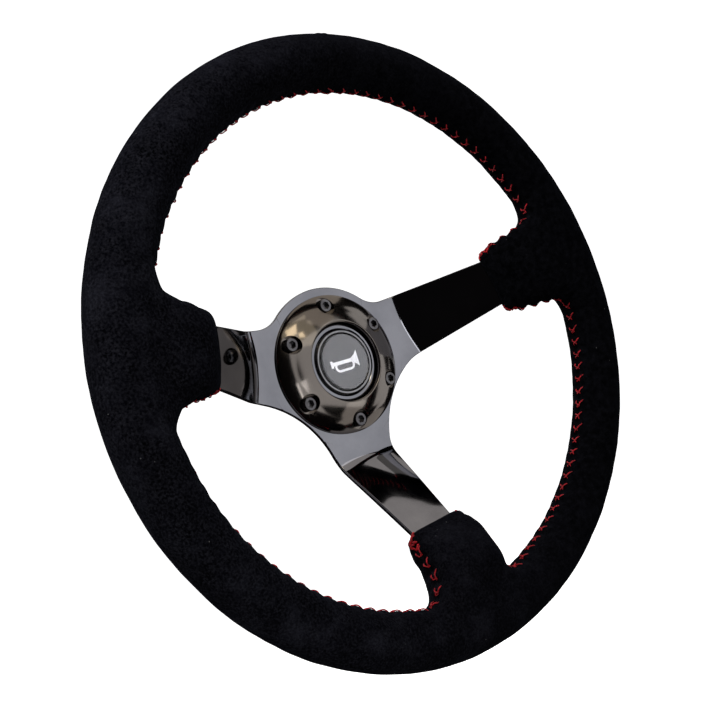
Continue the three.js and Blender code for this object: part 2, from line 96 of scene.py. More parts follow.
MOUTH_RADIUS, MOUTH_HEIGHT = 24.9, 14
PLATE_BORE = 26.6
CORE_INNER, CORE_OUTER = 151.5, 168
CORE_FLOOR = TIP_MIDDLE + PLATE / 2 + GAP
CORE_TOP = CORE_FLOOR + 4
RIVET_REACH, RIVET_OFFSET, RIVET_HEAD, RIVET_DEPTH = 157.5, 8, 4.5, 2.1

# where each collar ends along its spoke, at its clockwise and its counter-clockwise corner
COLLAR_ENDS = {"right": (110, 109), "left": (111, 107.5), "bottom": (108.5, 107.5)}

STITCH_PITCH = 8.5
SEAM_END = 4  # left unstitched at either end of a seam
THREAD_RADIUS = 0.35
KNOT_RADIUS = 0.6
STITCH_ARCH = 0.51  # how far a stitch's middle stands off the suede
HOLE_DEPTH = 0.9
STITCH_HALF = 2.1  # half a stitch's length along the seam
LEG_FRONT, LEG_BACK = 3.6, 2.4  # how far its two legs reach across
VOXEL = 1.15  # of the cover's field
FOAM_VOXEL = 1.6


def rad(degrees):
    return math.radians(degrees)


def smooth_step(value, start, length):
    """0 before start and 1 past start + length, and a smooth change between them."""
    t = np.clip((value - start) / length, 0, 1)
    return t * t * (3 - 2 * t)


# ---- meshes ----

def linked(name, data):
    """A new object in the scene."""
    made = bpy.data.objects.new(name, data)
    bpy.context.scene.collection.objects.link(made)
    return made


def as_piece(name, mesh, finish, replaces=(), body=WHEEL):
    """Puts a finished mesh in the scene as a piece that rides on a body, or on none yet."""
    piece = linked(name, mesh)
    mesh.materials.clear()
    mesh.materials.append(finish)
    if body:
        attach(piece, body)
    if replaces:
        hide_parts(*replaces)
    return piece


def mesh_from(name, points, faces, place=Matrix.Identity(4)):
    """A mesh from flat-lying millimetre points; place moves them before they are stood up."""
    mesh = bpy.data.meshes.new(name)
    mesh.from_pydata([tuple(p) for p in points], [], [tuple(f) for f in faces])
    mesh.transform(STAND @ place)
    mesh.validate()
    mesh.update()
    return mesh


def faced_outwards(mesh, sharp_angle=None):
    """Turns the faces outwards; with an angle, also shades smooth up to edges that are sharper."""
    work = bmesh.new()
    work.from_mesh(mesh)
    bmesh.ops.recalc_face_normals(work, faces=work.faces)
    if sharp_angle:
        for face in work.faces:
            face.smooth = True
        for edge in work.edges:
            edge.smooth = len(edge.link_faces) == 2 and edge.calc_face_angle(0) < rad(sharp_angle)
    work.to_mesh(mesh)
    work.free()


def solid_piece(name, shape, finish, replaces=(), *, sharp=30, body=WHEEL, place=Matrix.Identity(4)):
    """A piece from the points and faces of a shape."""
    mesh = mesh_from(name, *shape, place)
    faced_outwards(mesh, sharp)
    return as_piece(name, mesh, finish, replaces, body)


def ring_of(radii, z):
    """Points about the z axis, one for each radius in turn."""
    angles = [2 * math.pi * i / len(radii) for i in range(len(radii))]
    return [(r * math.cos(a), r * math.sin(a), z) for r, a in zip(radii, angles)]


def ring_faces(rings, sides):
    """Quads between rings of sides points each, and a cap at either end."""
    faces = [list(range(sides))[::-1], list(range((rings - 1) * sides, rings * sides))]
    for i in range(0, (rings - 1) * sides, sides):
        for k in range(sides):
            m = (k + 1) % sides
            faces.append([i + k, i + m, i + sides + m, i + sides + k])
    return faces


def lathe(profile, segments=96, closed=False):
    """Points and faces of a solid turned about z from [radius, height] pairs."""
    points = []
    rings = []
    for r, z in profile:
        if r == 0:
            rings.append([len(points)] * segments)
            points.append((0, 0, z))
            continue
        rings.append(list(range(len(points), len(points) + segments)))
        points += ring_of([r] * segments, z)
    pairs = list(zip(rings, rings[1:]))
    if closed:
        pairs.append((rings[-1], rings[0]))
    faces = []
    for low, high in pairs:
        for i in range(segments):
            j = (i + 1) % segments
            face = list(dict.fromkeys((low[i], low[j], high[j], high[i])))
            if len(face) > 2:
                faces.append(face)
    return points, faces


SHALLOW = rad(12)  # a corner that turns less than this stays as it is
MOST_OF_EDGE = 0.45  # a rounded corner takes no more than this share of the edge beside it


def rounded(profile, radius, closed, steps=4):
    """The same profile with its corners rounded; corners on the axis and shallow ones stay."""
    count = len(profile)
    made = []
    for i, p in enumerate(profile):
        p = np.array(p, float)
        before = np.array(profile[i - 1], float) - p
        after = np.array(profile[(i + 1) % count], float) - p
        end = not closed and i in (0, count - 1)
        lengths = np.linalg.norm(before), np.linalg.norm(after)
        bend = 0
        if not end:
            bend = math.acos(np.clip(-before @ after / (lengths[0] * lengths[1]), -1, 1))
        if bend < SHALLOW:
            made.append(tuple(p))
            continue
        reach = min(radius * math.tan(bend / 2), MOST_OF_EDGE * min(lengths))
        a = p + before / lengths[0] * reach
        b = p + after / lengths[1] * reach
        for k in range(steps + 1):
            t = k / steps
            made.append(tuple((1 - t) ** 2 * a + 2 * t * (1 - t) * p + t * t * b))
    return made


def turned_piece(name, profile, finish, replaces, *, body=WHEEL, radius=0.25, segments=96):
    """A turned piece with rounded corners; a profile that starts off the axis closes on itself."""
    closed = profile[0][0] != 0
    shape = lathe(rounded(profile, radius, closed), segments, closed)
    solid_piece(name, shape, finish, replaces, body=body)


def tube(path, radius, sides=8, taper=1.0):
    """Points and faces of a round tube along path; its ends narrow to taper times the radius."""
    path = [Vector(p) for p in path]
    points = []
    side = Vector((0, 0, 1))
    last = len(path) - 1
    for i, p in enumerate(path):
        along = (path[min(i + 1, last)] - path[max(i - 1, 0)]).normalized()
        side = side - along * side.dot(along)
        if side.length < 1e-6:
            side = along.orthogonal()
        side.normalize()
        up = along.cross(side)
        r = radius * (taper if i in (0, last) else 1)
        points += [p + side * x + up * y for x, y, _ in ring_of([r] * sides, 0)]
    return points, ring_faces(len(path), sides)


def gathered(parts):
    """Several (points, faces) as one."""
    points = []
    faces = []
    for part_points, part_faces in parts:
        start = len(points)
        points.extend(part_points)
        faces.extend([[i + start for i in face] for face in part_faces])
    return points, faces


# ---- materials ----

class Finish:
    """A material under construction: one Principled shader and the nodes that feed it."""

    def __init__(self, name, **settings):
        self.material = bpy.data.materials.new(name)
        self.material.use_nodes = True
        self.tree = self.material.node_tree
        self.shader = self.tree.nodes["Principled BSDF"]
        self.place = self.tree.nodes.new("ShaderNodeTexCoord").outputs["Object"]
        for key, value in settings.items():
            self.shader.inputs[key.replace("_", " ")].default_value = value

    def node(self, kind, **settings):
        node = self.tree.nodes.new("ShaderNode" + kind)
        for key, value in settings.items():
            socket = node.inputs.get(key.replace("_", " "))
            if socket is None:
                setattr(node, key, value)
            else:
                socket.default_value = value
        return node

    def link(self, source, target):
        self.tree.links.new(source, target)

    def noise(self, scale, detail=4, roughness=0.55, stretch=None):
        node = self.node("TexNoise", Scale=scale, Detail=detail, Roughness=roughness)
        source = self.place
        if stretch:
            mapping = self.node("Mapping", Scale=stretch)
            self.link(source, mapping.inputs["Vector"])
            source = mapping.outputs["Vector"]
        self.link(source, node.inputs["Vector"])
        return node.outputs["Fac"]

    def cells(self, scale):
        """Distance from the middle of each of a field of cells."""
        node = self.node("TexVoronoi", Scale=scale)
        self.link(self.place, node.inputs["Vector"])
        return node.outputs["Distance"]

    def ramp(self, source, *stops):
        """A colour ramp from (position, colour) stops; a number stands for a grey."""
        node = self.node("ValToRGB")
        elements = node.color_ramp.elements
        while len(elements) < len(stops):
            elements.new(0.5)
        for element, (position, colour) in zip(elements, stops):
            element.position = position
            if isinstance(colour, (int, float)):
                colour = (colour,) * 3
            element.color = (*colour, 1)
        self.link(source, node.inputs["Fac"])
        return node.outputs["Color"]

    def mix(self, factor, first, second):
        node = self.node("Mix", data_type="RGBA")
        self.link(factor, node.inputs["Factor"])
        self.link(first, node.inputs[6])
        self.link(second, node.inputs[7])
        return node.outputs[2]

    def finished(self, colour, roughness, *layers):
        """Feeds the shader; (height, strength, distance) layers are stacked into its normal."""
        self.link(colour, self.shader.inputs["Base Color"])
        self.link(roughness, self.shader.inputs["Roughness"])
        normal = None
        for height, strength, distance in layers:
            node = self.node("Bump", Strength=strength, Distance=distance)
            self.link(height, node.inputs["Height"])
            if normal:
                self.link(normal, node.inputs["Normal"])
            normal = node.outputs["Normal"]
        if normal:
            self.link(normal, self.shader.inputs["Normal"])
        return self.material


def suede_finish():
    """Black suede: nap in soft blue-grey patches, fine fibres, a few dust specks, and painted shade that
    darkens it towards the wheel's right side.
    """
    f = Finish("suede_black", Specular_IOR_Level=0.0, Sheen_Weight=0.01, Sheen_Roughness=0.5,
               Sheen_Tint=(0.72, 0.78, 1, 1))
    patches = f.ramp(f.noise(48, 5, 0.62), (0.34, (0.0012, 0.0012, 0.0018)),
                     (0.52, (0.0042, 0.0043, 0.0066)), (0.68, (0.0170, 0.0176, 0.0245)))
    fibres = f.ramp(f.noise(850, 2, 0.6), (0.38, (0.0005, 0.0005, 0.0008)), (0.66, (0.017, 0.017, 0.022)))
    nap = f.mix(f.ramp(f.noise(160, 3), (0.3, 0.35), (0.7, 0.7)), patches, fibres)
    # painted shade: the nap is painted darker towards the wheel's right side, by its x position
    across = f.node("MapRange", From_Min=-0.10, From_Max=0.10)
    parts = f.node("SeparateXYZ")
    f.link(f.place, parts.inputs[0])
    f.link(parts.outputs["X"], across.inputs["Value"])
    # painted shade: the dark nap colour laid over the wheel's right side
    painted_shade_nap = f.ramp(f.noise(300, 3), (0.35, (0.0007, 0.0007, 0.0009)), (0.75, (0.0046, 0.0046, 0.0060)))
    nap_with_painted_shade = f.mix(f.ramp(across.outputs["Result"], (0.0, 0.0), (1.0, 0.93)), nap, painted_shade_nap)
    # dust: the middles of a few scattered cells
    dots = f.ramp(f.cells(165), (0.035, 1), (0.06, 0))
    sparse = f.ramp(f.noise(120, 0), (0.6, 0), (0.66, 1))
    shown = f.node("Math", operation="MULTIPLY")
    f.link(dots, shown.inputs[0])
    f.link(sparse, shown.inputs[1])
    dust = f.ramp(f.noise(400, 0), (0.3, (0.05, 0.05, 0.055)), (0.7, (0.13, 0.125, 0.12)))
    return f.finished(f.mix(shown.outputs[0], nap_with_painted_shade, dust), f.ramp(f.noise(60, 3), (0.3, 0.86), (0.7, 1)),
                      (f.noise(110, 4, 0.6), 0.35, 0.0012), (f.noise(1100, 2, 0.7), 0.6, 0.0004))


def chrome_finish(name, dark, light, low, high, cloud=14):
    """Polished plating, with the faint clouding and wiping marks that a mirror finish picks up."""
    f = Finish(name, Metallic=1)
    colour = f.ramp(f.noise(cloud, 4), (0.35, dark), (0.65, light))
    wiped = f.ramp(f.noise(60, 5, 0.6, (1, 1, 0.25)), (0.4, low), (0.68, high))
    return f.finished(colour, wiped, (f.noise(26, 2), 0.05, 0.0006))


def metal_finish(name, dark, light, low, high):
    """Turned or drawn metal with a fine grain."""
    f = Finish(name, Metallic=1)
    colour = f.ramp(f.noise(180, 4), (0.3, dark), (0.7, light))
    roughness = f.ramp(f.noise(90, 4), (0.3, low), (0.7, high))
    return f.finished(colour, roughness, (f.noise(700, 2), 0.12, 0.00008))


def plastic_finish(name, dark, light, low, high, coat=0.0, grain=0.08):
    """Moulded or printed plastic: slight colour drift, handling marks and, with grain, a texture."""
    f = Finish(name, Coat_Weight=coat, Coat_Roughness=0.03)
    colour = f.ramp(f.noise(70, 3), (0.35, dark), (0.65, light))
    roughness = f.ramp(f.noise(130, 4), (0.35, low), (0.7, high))
    texture = [(f.noise(1400, 2), grain, 0.00005)] if grain else []
    return f.finished(colour, roughness, *texture)


def thread_finish():
    """Red waxed thread, twisted, with painted shade between its strands where its bump is low."""
    f = Finish("lacing_red", Sheen_Weight=0.03, Specular_IOR_Level=0.3)
    strand_height_and_painted_shade = f.noise(1300, 2, 0.5)
    # painted shade: the thread is painted darker where its bump is low, between the strands
    colour = f.ramp(strand_height_and_painted_shade, (0.32, (0.16, 0.001, 0.004)), (0.55, (0.50, 0.004, 0.012)),
                    (0.75, (0.74, 0.010, 0.022)))
    return f.finished(colour, f.ramp(f.noise(500, 2), (0.3, 0.45), (0.7, 0.7)), (strand_height_and_painted_shade, 0.5, 0.0002))


def foam_finish():
    """Skinned dark polyurethane foam with open pores, with painted shade in their hollows."""
    f = Finish("rim_foam_black", Specular_IOR_Level=0.2)
    pores_and_painted_shade = f.cells(900)
    # painted shade: darker in the middles of the pores, where their bump is low
    colour = f.ramp(pores_and_painted_shade, (0.1, 0.004), (0.6, 0.014))
    return f.finished(colour, f.ramp(f.noise(200, 3), (0.3, 0.8), (0.7, 1)), (pores_and_painted_shade, 0.5, 0.0004))


def lens_finish():
    """Clear domed resin, very slightly uneven."""
    f = Finish("dome_resin_clear", Transmission_Weight=1, IOR=1.38)
    colour = f.ramp(f.noise(120, 2), (0.3, (0.94, 0.95, 0.97)), (0.7, (0.98, 0.98, 1)))
    return f.finished(colour, f.ramp(f.noise(300, 3), (0.4, 0.0), (0.75, 0.02)))


BLACK_CHROME = chrome_finish("black_chrome", (0.192, 0.194, 0.218), (0.242, 0.244, 0.272), 0.035, 0.075, 32)
BRONZE_CHROME = chrome_finish("bronze_chrome", (0.150, 0.135, 0.124), (0.180, 0.161, 0.147), 0.10, 0.14)
BLACK_STEEL = metal_finish("black_steel", (0.075, 0.073, 0.078), (0.14, 0.137, 0.145), 0.16, 0.30)
ZINC_STEEL = metal_finish("zinc_steel", (0.32, 0.33, 0.34), (0.46, 0.47, 0.49), 0.3, 0.5)
BRASS = metal_finish("brass", (0.48, 0.30, 0.10), (0.66, 0.45, 0.17), 0.22, 0.42)
BRIGHT_TRIM = metal_finish("bright_trim", (0.20, 0.20, 0.21), (0.28, 0.28, 0.30), 0.1, 0.18)
GLOSS_PLASTIC = plastic_finish("gloss_black_plastic", (0.006, 0.006, 0.007), (0.014, 0.014, 0.016),
                               0.12, 0.22, coat=0.6)
SATIN_PLASTIC = plastic_finish("satin_black_plastic", (0.010, 0.010, 0.011), (0.022, 0.022, 0.024),
                               0.42, 0.6)
PHENOLIC = plastic_finish("brown_phenolic", (0.055, 0.026, 0.012), (0.11, 0.055, 0.026), 0.4, 0.6)
EMBLEM_GREY = plastic_finish("emblem_grey", (0.016, 0.016, 0.021), (0.020, 0.020, 0.026), 0.35, 0.45,
                             grain=0)
MARK_WHITE = plastic_finish("mark_white", (0.66, 0.66, 0.68), (0.80, 0.80, 0.82), 0.3, 0.4, grain=0)
LACING_RED = thread_finish()
SUEDE_BLACK = suede_finish()
FOAM_BLACK = foam_finish()
RESIN_CLEAR = lens_finish()


# ---- the spokes' shape ----

EDGE_TAPER = (ROOT_HALF - COLLAR_HALF) / (COLLAR_REACH - ROOT_REACH)
EDGE_START = ROOT_HALF + EDGE_TAPER * ROOT_REACH
EDGE_TILT = math.atan(EDGE_TAPER)
EDGE_OFFSET = EDGE_START * math.cos(EDGE_TILT)


class SideArc:
    """The round edge beside a spoke, touching the spoke's straight edge."""

    def __init__(self, centre_distance, radius):
        self.radius = radius
        self.bearing = math.asin((EDGE_OFFSET + radius) / centre_distance) - EDGE_TILT
        self.reach = centre_distance * math.cos(self.bearing)
        self.side = centre_distance * math.sin(self.bearing)

    def half_width(self, reach):
        if reach < self.reach - self.radius * math.sin(EDGE_TILT):
            return self.side - math.sqrt(self.radius ** 2 - (reach - self.reach) ** 2)
        return max(TIP_HALF, EDGE_START - EDGE_TAPER * reach)


LOW_GAP = rad(SPOKES["bottom"] - SPOKES["left"]) / 2
LOW_SINE = math.sin(LOW_GAP + EDGE_TILT)
LOW_RADIUS = (HUB_WAIST * LOW_SINE - EDGE_OFFSET) / (1 - LOW_SINE)
UPPER = SideArc(HUB_RADIUS + HUB_FILLET, HUB_FILLET)
LOWER = SideArc(HUB_WAIST + LOW_RADIUS, LOW_RADIUS)
SIDES = {"right": (LOWER, UPPER), "left": (UPPER, LOWER), "bottom": (LOWER, LOWER)}
CUT_REACH = 48.0  # where the hub's mesh ends and a spoke's begins
BEND_STEPS = 18
SLOPE_STEPS = 12


def arm_height(reach):
    """Height of the plate's middle on a spoke's straight slope."""
    return PLATE / 2 + (reach - LOWER_BEND) * math.tan(SPOKE_RISE)


def spoke_path():
    """(reach, height, slope) rows along the plate's middle, from the hub to the tip."""
    swing = np.linspace(0, SPOKE_RISE, BEND_STEPS + 1)
    out, up = BEND_RADIUS * np.sin(swing), BEND_RADIUS * (1 - np.cos(swing))
    tangent = BEND_RADIUS * math.tan(SPOKE_RISE / 2)
    upper_bend = LOWER_BEND + (TIP_MIDDLE - PLATE / 2) / math.tan(SPOKE_RISE)
    lower = np.stack([LOWER_BEND - tangent + out, PLATE / 2 + up, swing], axis=1)
    upper = np.stack([upper_bend + tangent - out, TIP_MIDDLE - up, swing], axis=1)[::-1]
    between = np.linspace(lower[-1], upper[0], SLOPE_STEPS + 1)[1:-1]
    flat = [(CUT_REACH, PLATE / 2, 0), (50, PLATE / 2, 0)]
    return np.vstack([flat, lower, between, upper, (TIP_REACH, TIP_MIDDLE, 0)])


SPOKE_PATH = spoke_path()


def arc(x, y, radius, start, end, steps):
    angles = [start + (end - start) * i / steps for i in range(steps + 1)]
    return [(x + radius * math.cos(a), y + radius * math.sin(a)) for a in angles]


def turn(point, degrees):
    c, s = math.cos(rad(degrees)), math.sin(rad(degrees))
    return (point[0] * c - point[1] * s, point[0] * s + point[1] * c)


BOLT_PLACES = [turn((BOLT_CIRCLE, 0), 90 - 360 * i / BOLT_COUNT) for i in range(BOLT_COUNT)]


def gap_edge(side):
    """The hub's edge from a spoke's cut to the middle of the next gap, in the spoke's own axes."""
    start = math.atan2(side.half_width(CUT_REACH) - side.side, CUT_REACH - side.reach)
    if start < 0:
        start += 2 * math.pi
    return arc(side.reach, side.side, side.radius, start, side.bearing + math.pi, 26)


ACROSS = 16  # faces across a spoke
CROWN = 2.6  # how much sooner the plate's middle bends than its edges
CROWN_FADE = 62, 41  # reach where the crown starts to fade, and the length over which it goes


def crown_height(reach, side):
    """Height of the plate's middle; its bend bows towards the hub, and the bow fades before the collar."""
    shown = smooth_step(reach, CUT_REACH, 4) * (1 - smooth_step(reach, *CROWN_FADE))
    early = CROWN * (0.4 - (side / ROOT_HALF) ** 2) * shown
    return float(np.interp(reach + early, SPOKE_PATH[:, 0], SPOKE_PATH[:, 1]))


def crowned(reach, side):
    """(height, lean outwards, lean sideways) of the plate's middle at a place on a spoke."""
    near = 0.4
    out = crown_height(reach - near, side) - crown_height(reach + near, side)
    sideways = crown_height(reach, side - near) - crown_height(reach, side + near)
    return crown_height(reach, side), out / (2 * near), sideways / (2 * near)


def hub_and_arms():
    """The plate's plan as a flat mesh: (x, y, height, lean x, lean y, lean z) rows and faces."""
    work = bmesh.new()

    def vertex(x, y):
        return work.verts.new((x, y, 0))

    outline = []
    roots = {}
    for name, angle in SPOKES.items():
        minus, plus = SIDES[name]
        clockwise = [(x, -y) for x, y in gap_edge(minus)][::-1]
        counter = gap_edge(plus)
        first, final = clockwise[-1], counter[0]
        sides = [first[1] + (final[1] - first[1]) * i / ACROSS for i in range(ACROSS + 1)]
        row = [vertex(*turn((CUT_REACH, side), angle)) for side in sides]
        roots[name] = row
        before = [vertex(*turn(p, angle)) for p in clockwise[:-1]]
        stop = len(counter) if plus is UPPER else -1
        after = [vertex(*turn(p, angle)) for p in counter[1:stop]]
        outline += [*before, *row, *after]
        if plus is UPPER:
            start = rad(angle) + UPPER.bearing
            outline += [vertex(*p) for p in arc(0, 0, HUB_RADIUS, start, math.pi - start, 60)[1:-1]]
    loops = [outline]
    holes = [(0, 0, PLATE_BORE, 96)] + [(x, y, BOLT_HOLE, 24) for x, y in BOLT_PLACES]
    for x, y, radius, steps in holes:
        loops.append([vertex(*p) for p in arc(x, y, radius, 0, 2 * math.pi, steps)[:-1]])
    edges = [work.edges.new((loop[i - 1], loop[i])) for loop in loops for i in range(len(loop))]
    bmesh.ops.triangle_fill(work, use_beauty=True, edges=edges)

    middle = {v: (v.co.x, v.co.y, PLATE / 2, 0, 0, 1) for v in work.verts}
    for name, angle in SPOKES.items():
        minus, plus = SIDES[name]
        row = roots[name]
        for reach in SPOKE_PATH[1:, 0]:
            low, high = -minus.half_width(reach), plus.half_width(reach)
            new_row = []
            for i in range(ACROSS + 1):
                side = low + (high - low) * i / ACROSS
                height, lean_out, lean_side = crowned(reach, side)
                v = vertex(*turn((reach, side), angle))
                lean = turn((lean_out, lean_side), angle)
                length = math.sqrt(1 + lean_out ** 2 + lean_side ** 2)
                middle[v] = (v.co.x, v.co.y, height, lean[0] / length, lean[1] / length, 1 / length)
                new_row.append(v)
            for i in range(ACROSS):
                work.faces.new((row[i], row[i + 1], new_row[i + 1], new_row[i]))
            row = new_row
    for face in work.faces:
        face.normal_update()
        if face.normal.z < 0:
            face.normal_flip()
    work.verts.index_update()
    rows = np.array([middle[v] for v in work.verts])
    faces = [[v.index for v in face.verts] for face in work.faces]
    rims = [(e.link_loops[0].vert.index, e.link_loops[0].link_loop_next.vert.index)
            for e in work.edges if len(e.link_faces) == 1]
    work.free()
    return rows, faces, rims


def spoke_plate():
    """The hub and its three arms as one plate, with its edges rounded."""
    rows, faces, rims = hub_and_arms()
    count = len(rows)
    front = rows[:, :3] + rows[:, 3:] * PLATE / 2
    back = rows[:, :3] - rows[:, 3:] * PLATE / 2
    solid = list(faces) + [[i + count for i in face[::-1]] for face in faces]
    solid += [[b, a, a + count, b + count] for a, b in rims]
    shape = np.vstack([front, back]), solid
    piece = solid_piece("spoke_plate_polished", shape, BLACK_CHROME, ["spoke_plate"],
                        sharp=40)
    bevel = piece.modifiers.new("rounded edges", "BEVEL")
    bevel.width = 0.7 * MM
    bevel.segments = 4
    bevel.limit_method = "ANGLE"
    bevel.angle_limit = rad(50)
    bevel.harden_normals = True


# ---- the rim's field ----

# reach, height of the middle, slope in degrees, half width and half thickness along a lobe
LOBE = np.array([
    (95, arm_height(95), 43, 18.4, 4.8),
    (COLLAR_REACH, arm_height(COLLAR_REACH), 43, 18.6, 4.8),
    (113, arm_height(113), 43, 20, 6.6),
    (121, arm_height(121) + 0.5, 41, 20.8, 8.8),
    (129, 65.8, 34, 22, 11),
    (137, 70.4, 22, 25, 12.4),
    (143.5, 72.6, 10, 30.5, 12.6),
    (150, 73.4, 3, 41, 11.4),
])
LOBE_POWER = 2 / 0.62  # exponent of the squarish oval section
FILLET = 9.5  # of the blend between lobe and grip
COLLAR_ROUNDING = 5.0
ARM_ROOM = 0.5  # between the steel and what is moulded or stretched over it
HEM = 2.2  # width of the suede turned over a collar's end


def lobe_column(reach, column):
    """A column of LOBE at any reach, by a curve through its stations."""
    stations = LOBE[:, 0]
    values = LOBE[:, column]
    slopes = np.gradient(values, stations)
    at = np.clip(reach, stations[0], stations[-1])
    i = np.clip(np.searchsorted(stations, at) - 1, 0, len(stations) - 2)
    width = stations[i + 1] - stations[i]
    t = (at - stations[i]) / width
    return ((1 + 2 * t) * (1 - t) ** 2 * values[i] + t * (1 - t) ** 2 * width * slopes[i]
            + t * t * (3 - 2 * t) * values[i + 1] + t * t * (t - 1) * width * slopes[i + 1])


# Each lobe's own shape. Lean is how far it sits to one side of its spoke, half way along and, on top of
# that, where it meets the rim; wider is added to its half width, and late puts off its thickening.
LEAN = {"right": (-0.6, 0.0), "left": (2.4, 2.2), "bottom": (-3.2, -4.6)}
WIDER = {"right": 2.7, "left": 0.2, "bottom": -1.2}
LATE = {"right": 0, "left": 4, "bottom": 0}
LOBE_HALF = 22  # half width of a lobe half way along

# the reach where each of these changes starts, and the length over which it happens
NEAR_LEAN = COLLAR_REACH, 16
FAR_LEAN = 124, 16
WIDENING = 109, 10
CATCHING_UP = 118, 18  # of a lobe that thickens late


def leaning(name, reach, side):
    """side measured from the lobe's own middle, in widths of a lobe that isn't widened."""
    near, far = LEAN[name]
    lean = near * smooth_step(reach, *NEAR_LEAN) + far * smooth_step(reach, *FAR_LEAN)
    return (side - lean) * (1 - WIDER[name] / LOBE_HALF * smooth_step(reach, *WIDENING))


def spoke_axes(x, y, angle):
    c, s = math.cos(rad(angle)), math.sin(rad(angle))
    return x * c + y * s, y * c - x * s


def near_spokes(x, y, *others, start=90, half=66):
    """For each spoke, its name, which points are near it, and their reach, side and other values."""
    for name, angle in SPOKES.items():
        reach, side = spoke_axes(x, y, angle)
        near = (reach > start) & (np.abs(side) < half)
        yield name, near, reach[near], side[near], *(other[near] for other in others)


def grip_field(x, y, z):
    return np.hypot(np.hypot(x, y) - RIM_CENTRE, z - DISH) - GRIP_RADIUS


def lobe_field(reach, side, z, late):
    """Rough distance to the lobe's surface, in the spoke's own axes; below zero inside."""
    slope = np.radians(lobe_column(reach, 2))
    foot = reach + (z - lobe_column(reach, 1)) * np.cos(slope) * np.sin(slope)
    up = (z - lobe_column(foot, 1)) * np.cos(np.radians(lobe_column(foot, 2)))
    half_side = lobe_column(foot, 3)
    half_deep = lobe_column(foot - late * (1 - smooth_step(foot, *CATCHING_UP)), 4)
    a = np.abs(side) / half_side + 1e-6
    b = np.abs(up) / half_deep + 1e-6
    level = (a ** LOBE_POWER + b ** LOBE_POWER) ** (1 / LOBE_POWER)
    steep_side = (a / level) ** (LOBE_POWER - 1) / half_side
    steep_deep = (b / level) ** (LOBE_POWER - 1) / half_deep
    oval = (level - 1) / np.hypot(steep_side, steep_deep)
    return np.maximum(oval, foot - LOBE[-1, 0])


def smooth_min(a, b, width):
    overlap = np.maximum(width - np.abs(a - b), 0) / width
    return np.minimum(a, b) - overlap * overlap * width / 4


def smooth_max(a, b, width):
    return -smooth_min(-a, -b, width)


def collar_line(name, side):
    """Reach of a collar's end at a place across the spoke."""
    low, high = COLLAR_ENDS[name]
    return low + (high - low) * np.clip((side / COLLAR_HALF + 1) / 2, 0, 1)


def beyond_collar(name, reach, side, z):
    """Distance along the spoke past the collar's end, towards the hub."""
    end = collar_line(name, side)
    return (end - reach) * math.cos(SPOKE_RISE) + (arm_height(end) - z) * math.sin(SPOKE_RISE)


def body_field(x, y, z, ended=True):
    """The padded rim with its three lobes; ended closes the collars, or leaves them running on."""
    field = grip_field(x, y, z)
    for name, near, r, s, h in near_spokes(x, y, z, start=92):
        lobe = lobe_field(r, leaning(name, r, s), h, LATE[name])
        if ended:
            lobe = smooth_max(lobe, beyond_collar(name, r, s, h), COLLAR_ROUNDING)
        field[near] = smooth_min(field[near], lobe, FILLET)
    return field


def arm_field(name, reach, side, z, grow):
    """The spoke's steel, grown all round by a clearance."""
    stations, heights, slopes = SPOKE_PATH.T
    up = (z - np.interp(reach, stations, heights)) * np.cos(np.interp(reach, stations, slopes))
    half = np.interp(reach, stations, [SIDES[name][1].half_width(r) for r in stations])
    return np.maximum.reduce([np.abs(up) - PLATE / 2, np.abs(side) - half, reach - TIP_REACH]) - grow


def core_field(x, y, z, grow):
    """The steel ring and the rivet heads inside the rim, grown by a clearance."""
    r = np.hypot(x, y)
    ring = np.maximum.reduce([CORE_INNER - r, r - CORE_OUTER, CORE_FLOOR - z, z - CORE_TOP])
    for angle in SPOKES.values():
        reach, side = spoke_axes(x, y, angle)
        off = np.hypot(reach - RIVET_REACH, np.abs(side) - RIVET_OFFSET) - RIVET_HEAD
        low, high = TIP_MIDDLE - PLATE / 2 - RIVET_DEPTH, CORE_TOP + RIVET_DEPTH
        ring = np.minimum(ring, np.maximum.reduce([off, low - z, z - high]))
    return ring - grow


def steel_field(x, y, z, grow):
    field = core_field(x, y, z, grow)
    for name, near, r, s, h in near_spokes(x, y, z, half=30):
        field[near] = np.minimum(field[near], arm_field(name, r, s, h, grow))
    return field


def cover_field(x, y, z):
    """The suede's thickness: its outside, less the room for foam and for the spokes."""
    room = body_field(x, y, z, ended=False) + SUEDE
    arms = np.full_like(x, 50.0)
    for name, near, r, s, h in near_spokes(x, y, z):
        room[near] = np.maximum(room[near], beyond_collar(name, r, s, h) + HEM)
        arms[near] = np.minimum(arms[near], arm_field(name, r, s, h, ARM_ROOM))
    return np.maximum(body_field(x, y, z), -np.minimum(room, arms))


def foam_field(x, y, z):
    """What is left inside the suede, less the steel."""
    room = body_field(x, y, z, ended=False) + SUEDE + GAP
    for name, near, r, s, h in near_spokes(x, y, z):
        room[near] = np.maximum(room[near], beyond_collar(name, r, s, h) + HEM + ARM_ROOM)
    return np.maximum(room, -steel_field(x, y, z, ARM_ROOM))


FIELD_LOW = np.array([-178.0, -178.0, 34.0])
FIELD_HIGH = np.array([178.0, 178.0, 92.0])
FAR = 8.0  # the value of a field in the empty middle
SLAB = 24  # voxels worked out at a time, to save memory


def far_or(field, x, y, z):
    """The field near the rim and its lobes, and FAR in the empty middle."""
    made = np.full(len(x), FAR)
    radius = np.hypot(x, y)
    near = (radius > 96) & (radius < FIELD_HIGH[0])
    made[near] = field(x[near], y[near], z[near])
    return made


